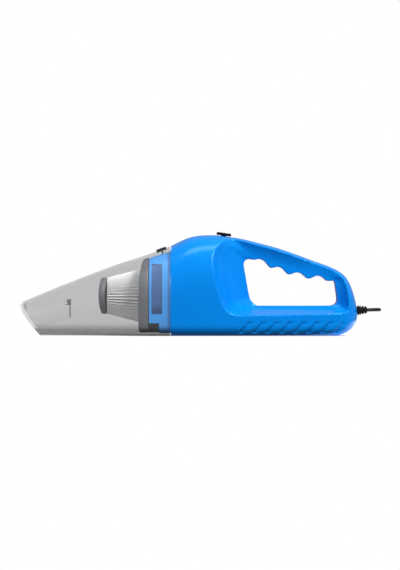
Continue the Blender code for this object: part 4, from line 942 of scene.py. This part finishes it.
def make_flange():
    """Carrier plate: a bowed grey disc with a rolled rim, a spigot into the collar and two tongues."""
    front, rear = FLANGE_X
    rim = [nozzle_section(x, NOZZLE_WALL + 1.4) for x in (front, rear)]
    rim_reach = max(point[1] for point in rim[0])

    def scaled(ring, share, shift=0.0):
        return [Vector((x + shift, y * share, AXIS_Z + (z - AXIS_Z) * share)) for x, y, z in ring]

    def blend(x, radius, share):
        rolled = scaled(rim[0], 1.0, x - front)
        return [a.lerp(b, share) for a, b in zip(round_ring(x, radius, rim[0]), rolled)]

    outside = [scaled(rim[1], 0.995), scaled(rim[1], 1.0, -0.5), scaled(rim[0], 1.0, 0.6),
               scaled(rim[0], 0.99)]
    outside += [blend(front - ahead, radius, share)
                for ahead, radius, share in ((1.2, 30.6, 0.75), (2.2, 30.4, 0.5), (2.8, 30.2, 0.2))]
    spigot = [(front - 3.0, 30.2), (front - 2.4, 30.0), (front + 1.5, 30.0), (front + 1.6, 22.6),
              (front + 2.0, 22.0), (-41.4, 22.0), (-40.9, 22.4), (-40.9, 27.3), (-41.3, 27.7),
              (rear + 0.1, 27.7)]
    outside += [round_ring(x, radius, rim[0]) for x, radius in spigot] + [scaled(rim[1], 0.9)]
    for ring in outside[2:4]:
        for point in ring:
            point.x -= RIM_BOW * (point.y / rim_reach) ** 2
    plate = mesh_object("flange", skin(outside, closed=True), smooth=32)
    pieces = [plate]
    for side in (-1, 1):
        low, high = sorted((side * TONGUE_HALF[0], side * TONGUE_HALF[1]))
        pieces.append(block("tongue", (front + 1.5, low, 3.8), (TONGUE_REAR, high, TONGUE_TOP), bevel=0.8))
    finish(joined("filter_flange_moulded", pieces), "grey_plastic", "filter_unit", "filter_flange")


# ---------------------------------------------------------------- collar

def make_collar():
    """Blue spigot that the nozzle slides over, with a window each side and a skirt inside the shells."""
    def collar_ring(x, inset):
        half, top = value_at(COLLAR_HALF, x), value_at(COLLAR_TOP, x)
        return section(x, half, COLLAR_LOW, top, NOZZLE_CORNER - 2, inset)

    skirt = WALL + 0.9
    outer = [collar_ring(x, 0.0) for x in steps(COLLAR_FRONT + 0.6, NOZZLE_REAR + 0.1, 8)]
    outer += [body_section(BODY_FRONT + 1.2, skirt), body_section(-10.5, skirt)]
    inner = [body_section(-10.5, skirt + COLLAR_WALL), body_section(BODY_FRONT + 2.5, skirt + COLLAR_WALL)]
    inner += [collar_ring(x, COLLAR_WALL) for x in steps(NOZZLE_REAR, COLLAR_FRONT + COLLAR_WALL, 4)]
    front = collar_ring(COLLAR_FRONT, 0.6)
    mouth = [(COLLAR_FRONT + COLLAR_WALL, 28.0), (COLLAR_FRONT + 0.5, 28.0), (COLLAR_FRONT, 28.5)]
    rings = [round_ring(x, radius, front) for x, radius in mouth] + [front]
    made = mesh_object("blue_collar", skin(rings + outer + inner, closed=True), smooth=32)
    low_x, high_x, low_z, high_z = WINDOW
    tools = [block("window", (low_x, side * 60 - 30, low_z), (high_x, side * 60 + 30, high_z), bevel=1.2)
             for side in (-1, 1)]
    tools.append(block("notch", (-60, -70, -5), (TONGUE_REAR + 0.3, 70, TONGUE_TOP + 0.3)))
    well_frame = top_frame(LATCH_X, NOZZLE_TOP)
    tools.append(block("latch_well", (-5.95, -8.3, -11), (5.95, 8.3, 5), frame=well_frame))
    carve(made, tools)
    shaded(made, 32)
    # the collar is dressed in the shells' blue painted paler: painted light under the nozzle's skin
    finish(made, "blue_shell", "main_body", "front_collar", dressed="collar_blue_painted_light")
    make_panes(collar_ring)


def make_panes(collar_ring):
    """The two panes let into the collar's windows, a little below its skin."""
    low_x, high_x, low_z, high_z = WINDOW
    places = steps(low_x - 1.0, high_x + 1.0, 4)
    faces = [collar_ring(x, 0.7) for x in places] + [collar_ring(x, 1.8) for x in reversed(places)]
    panes = mesh_object("collar_panes", skin(faces, closed=True), smooth=32)
    combine(panes, block("span", (low_x - 2, -60, low_z - 1), (high_x + 2, 60, high_z + 1)), "INTERSECT")
    finish(panes, "blue_shell", "main_body", dressed="blue_pane")


# ---------------------------------------------------------------- switch, latch, relief, plug

def make_switch():
    """Sliding thumb switch: a rounded block with raised grip ribs on a stem."""
    frame_at = top_frame(SWITCH_X, BODY_TOP)
    cap = block("cap", (-8.0, -6.5, 0.6), (8.0, 6.5, 3.5), frame=frame_at, bevel=0.4)
    inset = block("inset", (-8.05, -4.6, 1.0), (-6.4, 4.6, 3.0), frame=frame_at, bevel=0.4)
    stem = block("stem", (-3, -2, -6.3), (3, 2, 1.2), frame=frame_at, bevel=0.3)
    ribs = [block("rib", (x - 0.55, -5.6, 3.0), (x + 0.55, 5.6, 3.8), frame=frame_at, bevel=0.3)
            for x in (-6.0, -4.0, -2.0, 0.0, 2.0, 4.0, 6.0)]
    finish(joined("thumb_switch", [cap, inset, stem, *ribs]), "black_plastic", "slider", "switch_slider")


def make_latch():
    """Release button of the nozzle, with grip ribs across its top."""
    frame_at = top_frame(LATCH_X, NOZZLE_TOP)
    cap = block("cap", (-5.65, -8.0, -1.9), (5.65, 8.0, 1.3), frame=frame_at, bevel=0.6, segments=4)
    combine(cap, turned("spring_well", [(-20, 3.0), (-1.0, 3.0)], origin=frame_at.translation,
                        along=frame_at.to_3x3() @ Vector((0, 0, 1)), facets=48))
    stem = block("stem", (-0.9, -0.9, -4.2), (0.9, 0.9, -0.8), frame=frame_at, bevel=0.3)
    ribs = [block("rib", (x - 0.5, -7.0, 1.0), (x + 0.5, 7.0, 1.8), frame=frame_at, bevel=0.35)
            for x in (-4.2, -2.1, 0.0, 2.1, 4.2)]
    finish(joined("release_button", [cap, stem, *ribs]), "black_plastic", "latch", "latch_button")


def ribbed(low, high, start_r, end_r, ribs, bore, groove=0.7):
    """Profile of a flexible sleeve with rounded ribs along it, from a flange to its thin end."""
    profile = []
    for k in range(ribs):
        for share, dip in ((0.05, 1.0), (0.2, 0.15), (0.35, 0.0), (0.62, 0.0), (0.8, 0.15), (0.92, 1.0)):
            along = (k + share) / ribs
            profile.append((low + (high - low) * along, start_r + (end_r - start_r) * along - groove * dip))
    return [(low, bore)] + profile + [(high, end_r - groove), (high + 0.3, bore)]


def make_relief():
    """Moulded strain relief of the cord, pointing a little up."""
    rise = math.radians(RELIEF_RISE)
    profile = [(-1.2, 2.55), (-1.2, 4.0), (0.0, 4.1), (0.0, 5.2), (0.3, 5.4), (1.3, 5.4), (1.6, 5.2)]
    profile += ribbed(1.7, 10.3, 5.0, 3.9, 3, 2.55, 1.2)[1:]
    sleeve = turned("cord_sleeve", profile, origin=RELIEF_PLACE, along=(math.cos(rise), 0, math.sin(rise)),
                    facets=64, ring=True, smooth=50)
    finish(sleeve, "black_rubber", "main_body", "strain_relief")
    return sleeve


def make_plug():
    """Accessory plug: body with grip flutes, nose ring, sprung tip, side contacts and its own sleeve."""
    ahead = (1, 0, 0)
    profile = [(0, 3.1), (0, 8.0), (0.6, 8.6), (3, 12.2), (4.5, 12.8), (8, PLUG_R), (21.4, PLUG_R),
               (22.4, 12.7), (25, 10.6), (26, 10.4), (47.4, 10.4), (48, 9.8), (48, 5.4), (16, 5.4),
               (16, 3.1)]
    body = turned("plug_shell", profile, origin=PLUG_PLACE, along=ahead, ring=True, smooth=30)
    tools = []
    for number in range(18):
        turn = Matrix.Translation(PLUG_PLACE) @ Matrix.Rotation(2 * math.pi * number / 18, 4, "X")
        tools.append(block("flute", (7.0, -0.8, 12.3), (20.0, 0.8, 15.0), frame=turn, bevel=0.5))
    x, y, z = PLUG_PLACE
    for side in (-1, 1):
        low, high = sorted((y + side * 7.8, y + side * 13.4))
        tools.append(block("contact_slot", (x + 28, low, z - 2.3), (x + 42, high, z + 2.3)))
    carve(body, tools)
    shaded(body, 30)
    made = [finish(body, "black_plastic", "main_body", "plug_body")]
    for number, side in enumerate((-1, 1), 1):
        low, high = sorted((y + side * 9.2, y + side * 11.4))
        contact = block(f"contact_{number}", (x + 28.3, low, z - 2), (x + 41.7, high, z + 2), None, 0.8, 4)
        made.append(finish(contact, "plated_steel", "main_body", f"side_contact_{number}"))
    ring = [(48.4, 5.4), (48.4, 9.6), (48.8, 10.0), (51, 9.9), (54, 9.4), (57.4, 8.2), (59, 7.2),
            (59.2, 6.4), (59, 4.2), (52, 4.2), (52, 5.4)]
    nose = turned("plug_nose_ring", ring, origin=PLUG_PLACE, along=ahead, ring=True)
    made.append(finish(nose, "black_plastic", "main_body", "plug_nose"))
    pin = [(49.4, 0.4), (49.4, 4.9), (51.2, 4.9), (51.2, 3.8), (64.2, 3.8), (65.6, 3.5), (66.9, 2.7),
           (67.7, 1.6), (68.0, 0.4)]
    point = turned("plug_point", pin, origin=PLUG_PLACE, along=ahead, facets=64)
    made.append(finish(point, "plated_steel", "plug_contact", "plug_tip"))
    folds = [(-12.0, 2.25), *ribbed(-12.0, -1.4, 3.3, 4.9, 5, 2.25)[1:-1],
             (-1.2, 5.2), (-0.4, 5.4), (-0.3, 5.2), (-0.3, 2.25)]
    sleeve = turned("plug_sleeve", folds, origin=PLUG_PLACE, along=ahead, facets=64, ring=True, smooth=50)
    made.append(finish(sleeve, "black_rubber", "main_body", "plug_relief"))
    return made + [bpy.data.objects[n] for n in ("plug_fuse", "tip_spring")]


def make_cord_tie():
    """A reusable tie round the coil: a smooth band with a ribbed tail and a buckle."""
    low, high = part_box("cord_tie")
    outer = [value / MM for value in (*low, *high)]
    band = block("band", outer[:3], outer[3:], bevel=0.4)
    left, near, _, right, far, top = outer
    combine(band, block("window", (left + 0.9, near - 3, -5.0), (right - 0.9, far + 3, top - 0.9)))
    buckle = block("buckle", (right - 1.0, near - 0.6, 8.0), (right + 1.2, far + 0.6, 14.0), bevel=0.7)
    ribs = [block("rib", (x, near + 0.8, top - 0.3), (x + 0.6, far - 0.8, top + 0.25), bevel=0.2)
            for x in (left + 3 + 1.4 * k for k in range(12))]
    tie = joined("cord_tie_band", [band, buckle, *ribs])
    return finish(tie, "black_plastic", "main_body", "cord_tie")


def paint_cad_nodes():
    """The CAD nodes that stay, most of them inside the shells, take the finished materials of their slots."""
    for part in frame["record"]["subparts"]:
        for place in bpy.data.objects[part["node"]].material_slots:
            place.material = LOOKS[part["material_slot"]]


make_camera()
make_stage()
make_materials()
cord = make_cord()
make_shells()
make_collar()
make_nozzle()
make_duct()
make_filter()
make_switch()
make_latch()
on_cord = [make_relief(), make_cord_tie(), *make_plug()]
paint_cad_nodes()
